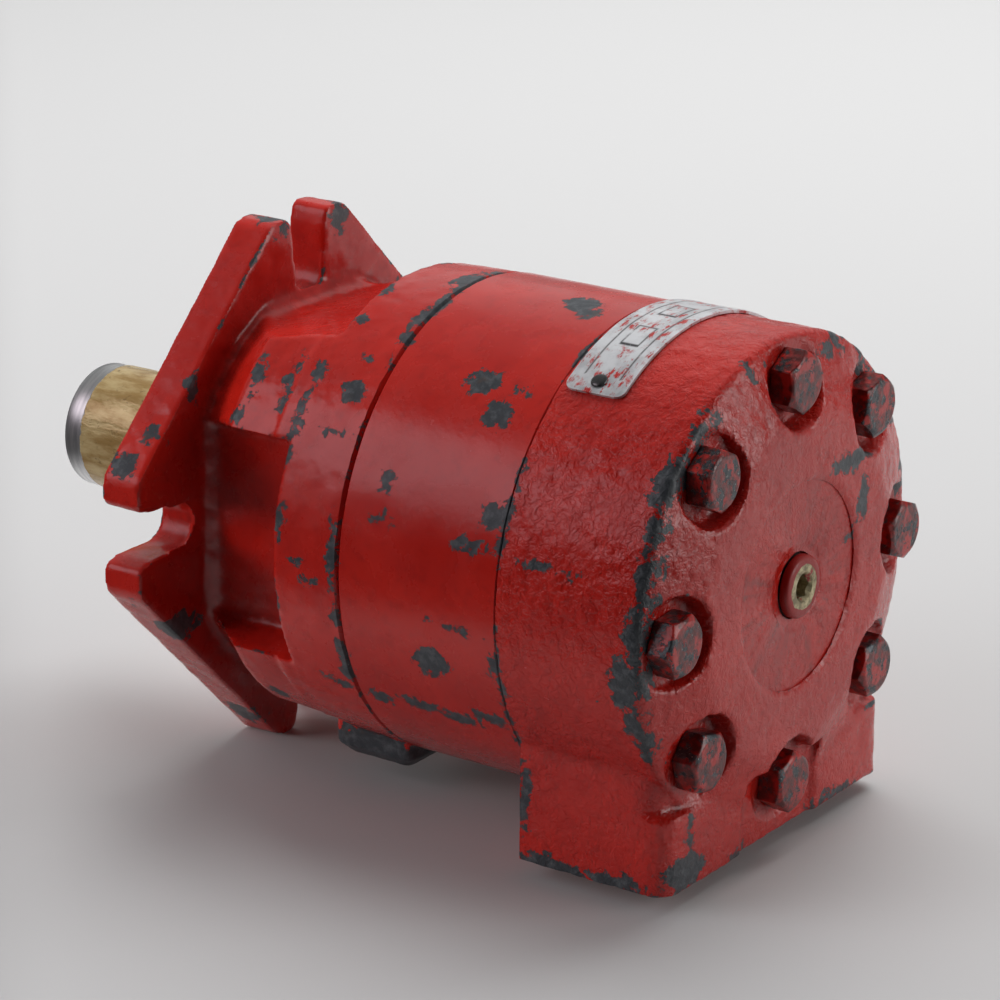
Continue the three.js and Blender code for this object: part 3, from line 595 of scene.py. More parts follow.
def paint(name, peel_size, peel, pebble=0.0):
    """Thick glossy red enamel over grey iron, chipped, with grime and painted shade darkening its
    sharp corners and painted glints on rubbed bare iron.
    """
    m = Material(name)
    bare = bare_share(m, 1.0, 0.6)
    patches = m.noise(30, 3, 0.55)
    fine = m.noise(3.4, 4, 0.6, shift=12.0)
    red = m.mix(m.span(patches, 0.36, 0.66), RED, RED_BRIGHT)
    red = m.mix(m.span(fine, 0.46, 0.78, 0, 0.45), red, RED_DEEP)
    scuffed = m.span(m.noise(1.6, 5, 0.72, stretch=(0.5, 1, 0.5), shift=33.0), 0.66, 0.76, 0, 0.5)
    red = m.mix(scuffed, red, RED_DARK)
    # Painted shade and grime: the paint turns dark red in sharp corners.
    corner_shade_and_grime = m.math("MULTIPLY", m.attribute("corner_shade_and_grime"), m.span(fine, 0.25, 0.6), clamp=True)
    red = m.mix(corner_shade_and_grime, red, RED_DARK)
    iron = m.mix(m.span(m.noise(2.4, 5, 0.65, shift=5.0), 0.42, 0.72), IRON, IRON_PALE)
    iron = m.mix(m.span(m.noise(6.5, 3, 0.6, shift=77.0), 0.60, 0.76, 0, 0.5), iron, RUST)
    # Painted glints: pale specks on the bare iron of rubbed edges, paler rubbed metal with a painted
    # highlight on it.
    glints = m.span(m.noise(0.9, 3, 0.7, shift=50.0), 0.67, 0.74, 0, 0.8)
    rubbed = m.span(m.attribute("edge"), 0.45, 0.9)
    iron = m.mix(m.math("MULTIPLY", glints, rubbed), iron, SCUFF_AND_GLINT)
    base = m.mix(bare, red, iron)
    gloss = m.span(m.noise(11, 4, 0.6, shift=9.0), 0.3, 0.7, 0.20, 0.32)
    roughness = m.blend(bare, gloss, 0.50)
    height = m.math("MULTIPLY", m.noise(peel_size, 2, 0.5, shift=3.0), peel)
    if pebble:
        bumps = m.noise(1.9, 3, 0.55, distortion=0.8, shift=21.0)
        height = m.math("MULTIPLY_ADD", m.span(bumps, 0.32, 0.66), pebble, height)
    height = m.math("MULTIPLY_ADD", m.noise(7, 2, 0.5, shift=40.0), peel * 1.6, height)
    height = m.math("MULTIPLY_ADD", bare, -0.14, height)
    pitted = m.math("MULTIPLY", bare, m.noise(0.7, 3, 0.7))
    height = m.math("MULTIPLY_ADD", pitted, 0.12, height)
    return m.set(Base_Color=base, Roughness=roughness, Normal=m.bump(height, 1.0),
                 Coat_Weight=0.15, Coat_Roughness=0.12)


def head_paint():
    """Paint on the bolt heads, mostly rubbed off the corners and faces by spanners."""
    m = Material("bolt_paint")
    bare = bare_share(m, 0.9, 0.5)
    rubbed = m.span(m.noise(3.6, 5, 0.72, shift=8.0), 0.53, 0.57)
    bare = m.math("MAXIMUM", bare, rubbed)
    fine = m.noise(2.0, 4, 0.6, shift=12.0)
    red = m.mix(m.span(fine, 0.30, 0.6), RED_DEEP, RED_DARK)
    red = m.mix(m.span(m.noise(5.0, 3, 0.6, shift=26.0), 0.5, 0.62), red, RED)
    # Painted shade and grime: the head's paint turns dark red in its sharp corners.
    red = m.mix(m.attribute("corner_shade_and_grime"), red, RED_DARK)
    steel = m.mix(m.span(m.noise(1.4, 4, 0.7), 0.4, 0.68), IRON, IRON_PALE)
    # Painted glints: pale specks on the bare steel, paler scuffed metal with a painted highlight on
    # it.
    steel = m.mix(m.span(m.noise(0.8, 3, 0.7, shift=50.0), 0.6, 0.7), steel, SCUFF_AND_GLINT)
    base = m.mix(bare, red, steel)
    height = m.math("MULTIPLY_ADD", bare, -0.10, m.math("MULTIPLY", m.noise(1.1, 3, 0.6), 0.10))
    return m.set(Base_Color=base, Roughness=m.blend(bare, 0.32, 0.42), Normal=m.bump(height, 1.0),
                 Metallic=m.math("MULTIPLY", bare, 0.6), Coat_Weight=0.25, Coat_Roughness=0.15)


def worn_steel(name, base=colour(0.33, 0.33, 0.34), dark=colour(0.10, 0.10, 0.105), rough=0.38,
               grain=(1, 1, 1)):
    m = Material(name)
    cloud = m.span(m.noise(6, 4, 0.6), 0.35, 0.7)
    lines = m.noise(0.9, 3, 0.6, stretch=grain, shift=4.0)
    shade = m.mix(m.math("MULTIPLY", cloud, lines), base, dark)
    roughness = m.span(lines, 0.3, 0.7, rough - 0.08, rough + 0.14)
    normal = m.bump(m.math("MULTIPLY", lines, 0.02), 1.0)
    return m.set(Base_Color=shade, Metallic=1.0, Roughness=roughness, Normal=normal)


def rubber():
    m = Material("seal_rubber")
    dust = m.span(m.noise(1.5, 4, 0.6), 0.45, 0.75, 0, 0.5)
    base = m.mix(dust, colour(0.016, 0.016, 0.018), colour(0.07, 0.066, 0.06))
    normal = m.bump(m.math("MULTIPLY", m.noise(0.6, 3, 0.6), 0.03), 1.0)
    return m.set(Base_Color=base, Roughness=m.span(dust, 0, 0.5, 0.5, 0.75), Normal=normal)


def bronze():
    m = Material("bronze")
    cloud = m.span(m.noise(5, 4, 0.6), 0.35, 0.7)
    base = m.mix(cloud, colour(0.50, 0.30, 0.12), colour(0.22, 0.12, 0.06))
    normal = m.bump(m.math("MULTIPLY", m.noise(0.5, 3, 0.6), 0.02), 1.0)
    return m.set(Base_Color=base, Metallic=1.0, Roughness=m.span(cloud, 0, 1, 0.3, 0.5),
                 Normal=normal)


def plug_metal():
    """Dull yellow zinc plate with red paint left in the corners."""
    m = Material("plug_metal")
    cloud = m.span(m.noise(2.4, 4, 0.62), 0.35, 0.65)
    base = m.mix(cloud, colour(0.52, 0.45, 0.27), colour(0.22, 0.18, 0.11))
    painted = m.math("MULTIPLY_ADD", m.attribute("bare"), -0.35, m.noise(4.5, 4, 0.6, shift=15.0))
    painted = m.span(painted, 0.24, 0.30)
    base = m.mix(painted, base, RED_DEEP)
    height = m.math("MULTIPLY_ADD", painted, 0.08, m.math("MULTIPLY", m.noise(0.8, 3, 0.6), 0.07))
    metal = m.math("MULTIPLY_ADD", painted, -0.8, 0.8)
    return m.set(Base_Color=base, Metallic=metal, Roughness=m.span(cloud, 0, 1, 0.32, 0.5),
                 Normal=m.bump(height, 1.0))


def nameplate_metal():
    """Etched aluminium, scratched, with red paint smeared over it."""
    m = Material("nameplate_metal")
    grain = m.noise(0.8, 3, 0.6, stretch=(1, 0.08, 0.08))
    cloud = m.noise(7, 4, 0.6, shift=6.0)
    base = m.mix(m.span(cloud, 0.35, 0.7), colour(0.74, 0.75, 0.77), colour(0.50, 0.51, 0.53))
    streak = m.noise(1.6, 4, 0.7, stretch=(1, 0.35, 0.35), shift=18.0)
    smear = m.math("MULTIPLY", m.span(streak, 0.50, 0.60), m.span(cloud, 0.42, 0.56), clamp=True)
    base = m.mix(smear, base, RED)
    inked = m.attribute("ink")
    base = m.mix(m.math("MULTIPLY", inked, m.span(streak, 0.7, 0.5)), base, colour(0.05, 0.05, 0.055))
    metal = m.math("MULTIPLY_ADD", smear, -0.5, 0.5)
    height = m.math("MULTIPLY_ADD", smear, 0.05, m.math("MULTIPLY", grain, 0.02))
    return m.set(Base_Color=base, Metallic=metal, Roughness=m.span(grain, 0.3, 0.7, 0.30, 0.46),
                 Normal=m.bump(height, 1.0))


def shaft_finish():
    """Ground steel under a dried amber film that stops short of the tip."""
    m = Material("shaft_steel")
    film = m.attribute("film")
    edge = m.math("MULTIPLY_ADD", m.math("SUBTRACT", m.noise(2.0, 4, 0.6), 0.5), 2.4, film)
    covered = m.span(edge, -0.2, 0.2)
    runs = m.noise(4.0, 4, 0.6, stretch=(0.35, 1, 1), shift=2.0)
    amber = m.mix(m.span(runs, 0.32, 0.66), colour(0.56, 0.44, 0.22), colour(0.34, 0.22, 0.08))
    amber = m.mix(m.span(m.noise(2.2, 5, 0.7, shift=60.0), 0.58, 0.72, 0, 0.7), amber,
                  colour(0.07, 0.035, 0.014))
    steel = m.mix(m.span(m.noise(1.2, 4, 0.6, stretch=(1, 0.1, 0.1)), 0.35, 0.7),
                  colour(0.90, 0.90, 0.90), colour(0.66, 0.67, 0.68))
    height = m.math("MULTIPLY", m.math("MULTIPLY", runs, covered), 0.5)
    return m.set(Base_Color=m.mix(covered, steel, amber),
                 Metallic=m.math("MULTIPLY_ADD", covered, -0.75, 1.0),
                 Roughness=m.blend(covered, 0.38, 0.20), Normal=m.bump(height, 1.0))


MATERIALS = {}


def build_materials():
    MATERIALS["cover"] = paint("cover_paint", peel_size=1.5, peel=0.07, pebble=0.16)
    MATERIALS["barrel"] = paint("barrel_paint", peel_size=1.3, peel=0.05)
    MATERIALS["housing"] = paint("housing_paint", peel_size=1.8, peel=0.07)
    MATERIALS["bolt_paint"] = head_paint()
    MATERIALS["nameplate_metal"] = nameplate_metal()
    MATERIALS["plug_metal"] = plug_metal()
    MATERIALS["shaft_steel"] = shaft_finish()
    MATERIALS["seal_rubber"] = rubber()
    MATERIALS["bearing_steel"] = worn_steel(
        "bearing_steel", colour(0.62, 0.62, 0.61), colour(0.40, 0.40, 0.40), 0.22, (0.2, 1, 1))
    MATERIALS["gear_steel"] = worn_steel("gear_steel", grain=(1, 1, 0.3))
    MATERIALS["bronze"] = bronze()
    MATERIALS["pin_metal"] = worn_steel(
        "pin_metal", colour(0.20, 0.20, 0.20), colour(0.06, 0.06, 0.06), 0.35)
    MATERIALS["drain_metal"] = worn_steel(
        "drain_metal", colour(0.12, 0.12, 0.12), colour(0.04, 0.04, 0.04), 0.45)


# ---------------- shapes shared by the sections


def rounded(corners, steps=6):
    """A convex outline with round corners. Each corner is (u, v, radius)."""
    points = []
    count = len(corners)
    for i, (u, v, r) in enumerate(corners):
        corner = Vector((u, v))
        if r == 0:
            points.append(corner)
            continue
        before = Vector(corners[i - 1][:2])
        after = Vector(corners[(i + 1) % count][:2])
        back, ahead = (before - corner).normalized(), (after - corner).normalized()
        reach = r / math.tan(back.angle(ahead) / 2)
        start, end = corner + back * reach, corner + ahead * reach
        for step in range(steps + 1):
            t = step / steps
            points.append((1 - t) ** 2 * start + 2 * t * (1 - t) * corner + t * t * end)
    return points


def bolt_places():
    for degrees in BOLT_ANGLES:
        angle = math.radians(degrees)
        yield degrees, (0, -BOLT_CIRCLE_R * math.sin(angle), BOLT_CIRCLE_R * math.cos(angle))


def place(obj, node, body, look):
    """Puts a finished piece into the frame in place of its CAD node."""
    obj.name = node + "_look"
    obj.data.name = obj.name
    obj.data.transform(Matrix.Translation(ORIGIN) @ Matrix.Scale(MM, 4))
    obj.data.update()
    obj.data.materials.clear()
    obj.data.materials.append(MATERIALS[look])
    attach(obj, body)
    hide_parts(node)
    return obj


# ---------------- front housing


def flange_outline():
    side = FLAT_DISTANCE * math.sqrt(2)
    tip_half = side - TIP_DISTANCE
    floor = SLOT_END + SLOT_HALF
    lip = rounded([
        (tip_half + 20, TIP_DISTANCE - 20, 0), (tip_half, TIP_DISTANCE, 7.0),
        (SLOT_HALF + 1.4, TIP_DISTANCE, 3.0), (SLOT_HALF, TIP_DISTANCE - 6, 0),
        (SLOT_HALF, floor, 0)])[1:]
    bottom = []
    for step in range(1, 24):
        angle = -math.pi * step / 24
        bottom.append(Vector((SLOT_HALF * math.cos(angle), floor + SLOT_HALF * math.sin(angle))))
    corner = lip + bottom + [Vector((-p.x, p.y)) for p in reversed(lip)]
    points = []
    for quarter in range(4):
        turn = Matrix.Rotation(math.pi / 2 * quarter, 2)
        points += [turn @ p for p in corner]
    return points


def room_over(rear_height, front_height):
    """Room over a flat floor that ends in a round corner against the flange."""
    reach, steps = 84, 8
    start = FLANGE_REAR - COVE_R
    share = (start - DRUM_FRONT) / (FLANGE_REAR - DRUM_FRONT)
    floor = rear_height + (front_height - rear_height) * share
    profile = [(DRUM_FRONT, rear_height)]
    for step in range(steps + 1):
        angle = math.pi / 2 * step / steps
        profile.append((start + COVE_R * math.sin(angle), floor + COVE_R * (1 - math.cos(angle))))
    profile += [(FLANGE_REAR, reach), (DRUM_FRONT, reach)]
    return moved(extruded([(z, x) for x, z in profile], -reach, reach), turn=ACROSS)


def hollow_cutters():
    """Room for the mounting bolts: flats above and below the neck, and bays at its sides."""
    reach = 82
    mouth = NECK_BAY_HALF + NECK_BAY_SLOPE * (reach - NECK_BAY_FLOOR)
    outline = rounded([
        (-NECK_BAY_HALF, NECK_BAY_FLOOR, 4.0), (NECK_BAY_HALF, NECK_BAY_FLOOR, 4.0),
        (mouth, reach, 0), (-mouth, reach, 0)])
    for turn in (0, 180):
        yield spun(room_over(*FLAT_HEIGHT), turn)
    for turn in (90, -90):
        bay = extruded(outline, DRUM_FRONT - 1, FLANGE_REAR + 1)
        yield spun(keep(bay, room_over(NECK_BAY_FLOOR - 0.02, NECK_BAY_FLOOR - 0.02)), turn)


def drain_boss():
    """A square pad with round corners and a chamfer round its face, its face at x = 0."""
    half, corner, depth = DRAIN_HALF, 3.0, 23.0
    outline = rounded([(-half, -half, corner), (half, -half, corner), (half, half, corner),
                       (-half, half, corner)])
    tip = extruded(outline, -DRAIN_CHAMFER, 0)
    co = coordinates(tip)
    co[co[:, 0] > -0.01, 1:] *= (half - DRAIN_CHAMFER) / half
    set_coordinates(tip, co)
    return [extruded(outline, -depth, -DRAIN_CHAMFER), tip]


def front_housing():
    drum = turned([
        (JOINT_FRONT - 2, 0), (JOINT_FRONT - 2, DRUM_REAR_R), (JOINT_FRONT + 1, DRUM_REAR_R),
        (DRUM_FRONT, DRUM_FRONT_R), (DRUM_FRONT, 0)], 256)
    neck = turned(rounded([
        (DRUM_FRONT - 3, 0, 0), (DRUM_FRONT - 3, PAD_R + 0.6, 0), (133.0, PAD_R + 0.6, 0),
        (133.6, PAD_R, 0), (PAD_FRONT, PAD_R, 0), (FLANGE_REAR, PAD_TOE_R, 4.0),
        (FLANGE_REAR, PAD_R - 3, 0), (FLANGE_REAR + 0.5, PAD_R - 3, 0),
        (FLANGE_REAR + 0.5, 0, 0)]), 256)
    cut(neck, *hollow_cutters())
    flange = bevelled(extruded(flange_outline(), FLANGE_REAR, FLANGE_FRONT), 0.9, 3)
    boss = [downward(piece, (DRAIN_X, DRAIN_Y, DRAIN_FACE)) for piece in drain_boss()]
    body = join(drum, neck, flange, *boss)
    as_cast(body, CAST_VOXEL, CAST_SOFTNESS)
    roughen(body, 0.16, 5.5, 3, seed=4.0)
    held_in(body, HOUSING_LOW, HOUSING_HIGH)
    machine_housing(body)
    shade_smooth(weather_and_corner_shade(body))
    return place(body, "front_housing", "casing", "housing")


def machine_housing(body):
    """Cuts the machined faces, bores and holes into the casting."""
    rear = JOINT_FRONT
    cut(body, block((rear - 20, -BEYOND, -BEYOND), (rear, BEYOND, BEYOND)),
        turned([(rear - 1, BEYOND), (rear - 1, 67.9), (rear, 67.9), (rear + 1.0, 69.2),
                (rear + 1.0, BEYOND)], 256),
        block((FLANGE_FRONT, -BEYOND, -BEYOND), (FLANGE_FRONT + 10, BEYOND, BEYOND)))
    pilot = turned([
        (FLANGE_FRONT - 1, 0), (FLANGE_FRONT - 1, PILOT_R), (PILOT_FRONT - 0.8, PILOT_R),
        (PILOT_FRONT, PILOT_EDGE_R), (PILOT_FRONT, 0)], 192)
    join(body, pilot)
    cut(body, disc(rear - 1, rear + 5.3, STACK_BORE_R, 160),
        disc(rear, NECK_BORE_END, NECK_BORE_R, 128),
        disc(NECK_BORE_END - 1, BEARING_BORE_END, BEARING_BORE_R),
        disc(173, FLANGE_FRONT - 3.6, SHAFT_R + 1.2),
        disc(FLANGE_FRONT - 3.8, PILOT_FRONT + 1, SEAL_BORE_R),
        ring(rear - 1, rear + 1.6, *SEAL_GROOVE_R))
    spot = (DRAIN_X, DRAIN_Y, DRAIN_FACE)
    cut(body,
        downward(disc(-PLUG_SEAT_DEPTH * DRAIN_SCALE, 1, PLUG_SEAT_R * DRAIN_SCALE, 48), spot),
        downward(disc(-15 * DRAIN_SCALE, 1, PLUG_HOLE_R * DRAIN_SCALE, 48), spot),
        downward(disc(-40, -12, DRAIN_PASSAGE_R, 32), spot))
    for _, (_, y, z) in bolt_places():
        cut(body, moved(disc(rear - 1, 127.0, BOLT_HOLE_R, 40), (0, y, z)))


# ---------------- stator ring


def stator_ring():
    rear, front = STATOR_LOW.x, STATOR_HIGH.x
    steps, blank_r = 44, 38.0
    profile = [(rear, blank_r), (rear, BODY_R - 0.3)]
    for i in range(steps + 1):
        profile.append((rear + 0.3 + (front - rear - 1.2) * i / steps, BODY_R))
    profile += [(front - 0.3, BODY_R - 0.6), (front, BODY_R - 1.0), (front, blank_r)]
    body = turned(profile, 320)
    roughen(body, 0.05, 9.0, 2, seed=8.0)
    # A plain bore between the rollers, then a pocket for each roller and the bolt holes
    cut(body, disc(rear - 1, front + 1, STATOR_BORE_R, 128))
    for i in range(ROLLERS):
        angle = 2 * math.pi * i / ROLLERS
        y, z = ROLLER_CIRCLE_R * math.cos(angle), ROLLER_CIRCLE_R * math.sin(angle)
        cut(body, moved(disc(rear - 1, front + 1, ROLLER_POCKET_R, 56), (0, y, z)))
    for _, (_, y, z) in bolt_places():
        cut(body, moved(disc(rear - 1, front + 1, BOLT_HOLE_R, 40), (0, y, z)))
    shade_smooth(weather_and_corner_shade(body))
    return place(body, "stator_ring", "casing", "barrel")


# ---------------- end cover


def port_block():
    """The port block, with its rear corners rounded and its ledge over the rear pads."""
    def upright(rear, low, high):
        plan = rounded([
            (rear, -BLOCK_HALF_W, 7.5), (JOINT_REAR + 2, -BLOCK_HALF_W, 0),
            (JOINT_REAR + 2, BLOCK_HALF_W, 0), (rear, BLOCK_HALF_W, 7.5)])
        # The plan is in X-Y, so it is drawn along X as (y, z) and then stood up.
        body = extruded([(x, y) for x, y in plan], low, high)
        turn = Matrix(((0, 1, 0, 0), (0, 0, 1, 0), (1, 0, 0, 0), (0, 0, 0, 1)))
        return moved(body, turn=turn)
    lower = bevelled(upright(BLOCK_REAR, BLOCK_BOTTOM, BLOCK_LEDGE), 1.2, 3)
    return [lower, upright(BLOCK_REAR + 3.6, BLOCK_LEDGE - 2, -20)]


def end_cover():
    body = turned([
        (COVER_LOW.x, 0), (COVER_LOW.x, 44.6), (0.55, 47.2), (1.4, 50.5), (4.2, 59.5),
        (6.7, 66.0), (7.5, 67.8), (8.8, BODY_R), (JOINT_REAR + 2, BODY_R),
        (JOINT_REAR + 2, 0)], 256)
    join(body, *port_block())
    cut(body, turned([(-2, 0), (-2, 31.2), (0.2, 30.3), (1.3, 29.7), (1.3, 0)]),
        disc(-2, 2.0, PLUG_LAND_R),
        block((-5, -BAY_HALF_W, BLOCK_BOTTOM - 5), (BAY_X, BAY_HALF_W, BLOCK_LEDGE)))
    for _, (_, y, z) in bolt_places():
        pocket = turned([(-5, 0), (-5, POCKET_R + 1.6), (4.0, POCKET_R + 0.2),
                         (SEAT_X, POCKET_R - 0.4), (SEAT_X, 0)], 96)
        cut(body, moved(pocket, (0, y, z)))
    as_cast(body, CAST_VOXEL, CAST_SOFTNESS)
    roughen(body, 0.26, 4.6, 3, seed=2.0)
    held_in(body, COVER_LOW, COVER_HIGH)
    machine_cover(body)
    shade_smooth(weather_and_corner_shade(body))
    return place(body, "end_cover", "casing", "cover")


def machine_cover(body):
    cut(body, block((JOINT_REAR, -BEYOND, -BEYOND), (JOINT_REAR + 10, BEYOND, BEYOND)),
        disc(COVER_BORE_START, JOINT_REAR + 1, STACK_BORE_R, 160),
        ring(JOINT_REAR - 1.6, JOINT_REAR + 1, *SEAL_GROOVE_R),
        disc(-2, COVER_BORE_START + 2, PLUG_HOLE_R, 48), disc(-1, 4.1, PLUG_SEAT_R, 64),
        disc(-2, 1.45, RECESS_R, 160))
    for side in (-1, 1):
        mouth = (PORT_X, side * PORT_Y, BLOCK_BOTTOM)
        cut(body, downward(disc(-1.2, 1, PORT_SEAT_R), mouth),
            downward(disc(-20, 1, PORT_R), mouth),
            downward(disc(-45, -19, PORT_PASSAGE_R, 40), mouth))
    for _, (_, y, z) in bolt_places():
        cut(body, moved(disc(0, JOINT_REAR + 1, BOLT_HOLE_R, 40), (0, y, z)))
    for angle in pin_angles():
        hole = moved(disc(60, 75, PIN_HOLE_R, 24), turn=Matrix.Rotation(-math.pi / 2, 4, "Y"))
        cut(body, moved(spun(hole, -angle), (PIN_X, 0, 0)))


# ---------------- bolts, plugs and nameplate


def hexagon(across_flats, turn=30):
    r = across_flats / math.sqrt(3)
    return [(r * math.cos(math.radians(60 * i + turn)), r * math.sin(math.radians(60 * i + turn)))
            for i in range(6)]


def cover_bolts():
    """Eight bolts, each turned by its own amount as they were left after tightening."""
    corner = HEAD_AF / math.sqrt(3)
    for i, ((_, spot), turn) in enumerate(zip(bolt_places(), BOLT_TURNS)):
        head = extruded(hexagon(HEAD_AF - 0.15), 0.05, HEAD_H)
        dome = turned([(0.05, 0), (0.05, 7.1), (0.45, 7.75), (1.5, corner + 0.05),
                       (HEAD_H, corner + 0.05), (HEAD_H, 0)], 96)
        keep(head, dome)
        as_cast(head, 0.26, 1)
        roughen(head, 0.05, 1.8, 2, seed=3.0 * i)
        shank = turned([(HEAD_H - 1.5, 0), (HEAD_H - 1.5, SHANK_R), (BOLT_END - 1, SHANK_R),
                        (BOLT_END, SHANK_R - 1), (BOLT_END, 0)], 32)
        join(head, shank)
        spun(head, turn)
        weather_and_corner_shade(head, edge_scale=0.8, chips=False)
        moved(shade_smooth(head, 40), spot)
        place(head, f"cover_bolt_{i + 1}", "casing", "bolt_paint")


def socket_plug():
    """A plug with a hex socket; `bare` marks the middle of its face, which has no paint."""
    body = turned([
        (-0.75, 0), (-0.75, 6.2), (-0.75, 6.8), (-0.75, 7.9), (-0.45, 8.5), (0.1, 8.85),
        (1.7, 8.85), (1.7, 6.9), (12.2, 6.9), (13.2, 5.9), (13.2, 0)], 96)
    cut(body, extruded(hexagon(6.35, 0), -2, 5.2),
        turned([(-2, 0), (-2, 5.4), (0.4, 3.3), (0.4, 0)], 64))
    bevelled(body, 0.15, 2, 40)
    co = coordinates(body)
    store(body, "bare", np.hypot(co[:, 1], co[:, 2]) < 6.5)
    return shade_smooth(body, 40)


def rear_plug():
    return place(socket_plug(), "rear_plug", "casing", "plug_metal")


def drain_plug():
    plug = moved(socket_plug(), turn=Matrix.Scale(DRAIN_SCALE, 4))
    upward = Matrix.Rotation(-math.pi / 2, 4, "Y")
    moved(plug, (DRAIN_X, DRAIN_Y, DRAIN_FACE + 0.75 * DRAIN_SCALE), upward)
    return place(plug, "drain_plug", "casing", "drain_metal")


def pin_angles():
    return (PLATE_TO - PIN_INSET, PLATE_FROM + PIN_INSET)


def plate_points():
    """The plate's upper and lower skins point by point, and where the upper one has print."""
    arc = math.radians(PLATE_TO - PLATE_FROM) * PLATE_R
    width = PLATE_HIGH.x - PLATE_LOW.x
    top, bottom, ink = [], [], []
    for i in range(PLATE_COLUMNS + 1):
        for j in range(PLATE_ROWS + 1):
            u, v = (i / PLATE_COLUMNS - 0.5) * arc, (j / PLATE_ROWS - 0.5) * width
            # Squeeze the ends so that the corners come out round.
            over = max(abs(u) - (arc / 2 - PLATE_CORNER_R), 0.0)
            narrow = PLATE_CORNER_R - math.sqrt(max(PLATE_CORNER_R ** 2 - over ** 2, 0.0))
            v *= (width / 2 - narrow) / (width / 2)
            edge = min(arc / 2 - abs(u), width / 2 - narrow - abs(v))
            rim = PLATE_RIM * math.exp(-((edge - 1.3) / 0.35) ** 2)
            wave = 0.10 * noise.fractal(Vector((u, v, 4.0)) / 9, 1.0, 2.0, 2)
            lift = min(PLATE_LIFT + wave, PLATE_LIFT_MOST)
            angle = math.radians((PLATE_FROM + PLATE_TO) / 2) + u / PLATE_R
            for layer, rise in ((top, lift + (PLATE_THICK + rim)), (bottom, 0.0)):
                r = PLATE_R + rise - PLATE_SINK
                layer.append((PIN_X + v, r * math.sin(angle), r * math.cos(angle)))
            ink.append(printed(u / arc, v / width))
    return top, bottom, ink


def plate_faces(size):
    """Both skins of `size` points each, and the band that joins them round the border."""
    rows, columns = PLATE_ROWS, PLATE_COLUMNS
    faces = []

    def at(i, j):
        return i * (rows + 1) + j

    for i in range(columns):
        for j in range(rows):
            quad = [at(i, j), at(i + 1, j), at(i + 1, j + 1), at(i, j + 1)]
            faces.append(quad)
            faces.append([size + k for k in reversed(quad)])
    border = [at(i, 0) for i in range(columns)] + [at(columns, j) for j in range(rows)]
    border += [at(i, rows) for i in range(columns, 0, -1)]
    border += [at(0, j) for j in range(rows, 0, -1)]
    for a, b in zip(border, border[1:] + border[:1]):
        faces.append([b, a, size + a, size + b])
    return faces


def nameplate():
    """A thin curved plate with round corners, a pressed rim and blank printed bands."""
    top, bottom, ink = plate_points()
    plate = new_object("nameplate", top + bottom, plate_faces(len(top)))
    store(plate, "ink", ink + [0.0] * len(bottom))
    shade_smooth(plate, 45)
    return place(plate, "nameplate", "casing", "nameplate_metal")


def printed(u, v):
    """Where the plate has dark print: two plain bands and three blank boxes, no lettering."""
    band = abs(abs(v) - 0.30) < 0.016 and abs(u) < 0.44
    box = abs(v) < 0.17 and any(abs(u - at) < 0.055 for at in (-0.22, 0.04, 0.24))
    hollow = abs(v) < 0.13 and any(abs(u - at) < 0.047 for at in (-0.22, 0.04, 0.24))
    return 1.0 if band or (box and not hollow) else 0.0


def nameplate_pins():
    seat = PLATE_R + PLATE_THICK + 0.28
    for i, angle in enumerate(pin_angles()):
        pin = turned([
            (BODY_R - 6, 0), (BODY_R - 6, 1.1), (seat, 1.1), (seat, 2.3), (seat + 0.18, 2.28),
            (seat + 0.45, 1.9), (seat + 0.66, 1.2), (seat + 0.74, 0)], 40)
        moved(pin, turn=Matrix.Rotation(-math.pi / 2, 4, "Y"))
        moved(spun(pin, -angle), (PIN_X, 0, 0))
        shade_smooth(pin, 50)
        place(pin, f"nameplate_pin_{i + 1}", "casing", "pin_metal")


# ---------------- shaft and seals


def spline_hole(x0, x1):
    points = []
    for i in range(12):
        for r, offset in ((12.9, -9.6), (15.1, -7.8), (15.1, 7.8), (12.9, 9.6)):
            angle = math.radians(30 * i + offset)
            points.append((r * math.cos(angle), r * math.sin(angle)))
    return extruded(points, x0, x1)


def shaft_blank(tip):
    """The shaft turned to size, with its dried film a little proud as far as COAT_END."""
    profile = [(SHAFT_REAR, 0), (SHAFT_REAR, 27.6), (SHAFT_REAR + 0.9, 28.5), (160.0, 28.5),
               (160.0, 24.0), (SHAFT_STEP, 24.0), (SHAFT_STEP, SHAFT_R), (COAT_START, SHAFT_R)]
    steps = 60
    for i in range(1, steps + 1):
        profile.append((COAT_START + (COAT_END - COAT_START) * i / steps, SHAFT_R))
    profile += [(COAT_END + 0.25, SHAFT_BARE_R), (COAT_END + 3, SHAFT_BARE_R),
                (tip - 0.9, SHAFT_BARE_R), (tip - 0.25, 18.4), (tip, 17.9), (tip, 0)]
    body = turned(profile, 192)
    co = coordinates(body)
    length = co[:, 0]
    bumps = np.array([noise.fractal(Vector(p) / 7, 1.0, 2.0, 3) for p in co])
    radius = np.hypot(co[:, 1], co[:, 2])
    film = (length > COAT_START) & (length <= COAT_END + 0.01) & (radius > 18)
    push = np.where(film, 0.10 * bumps - 0.09, 0.0)
    co[:, 1:] *= (1 + push / np.maximum(radius, 1))[:, None]
    set_coordinates(body, co)
    return body


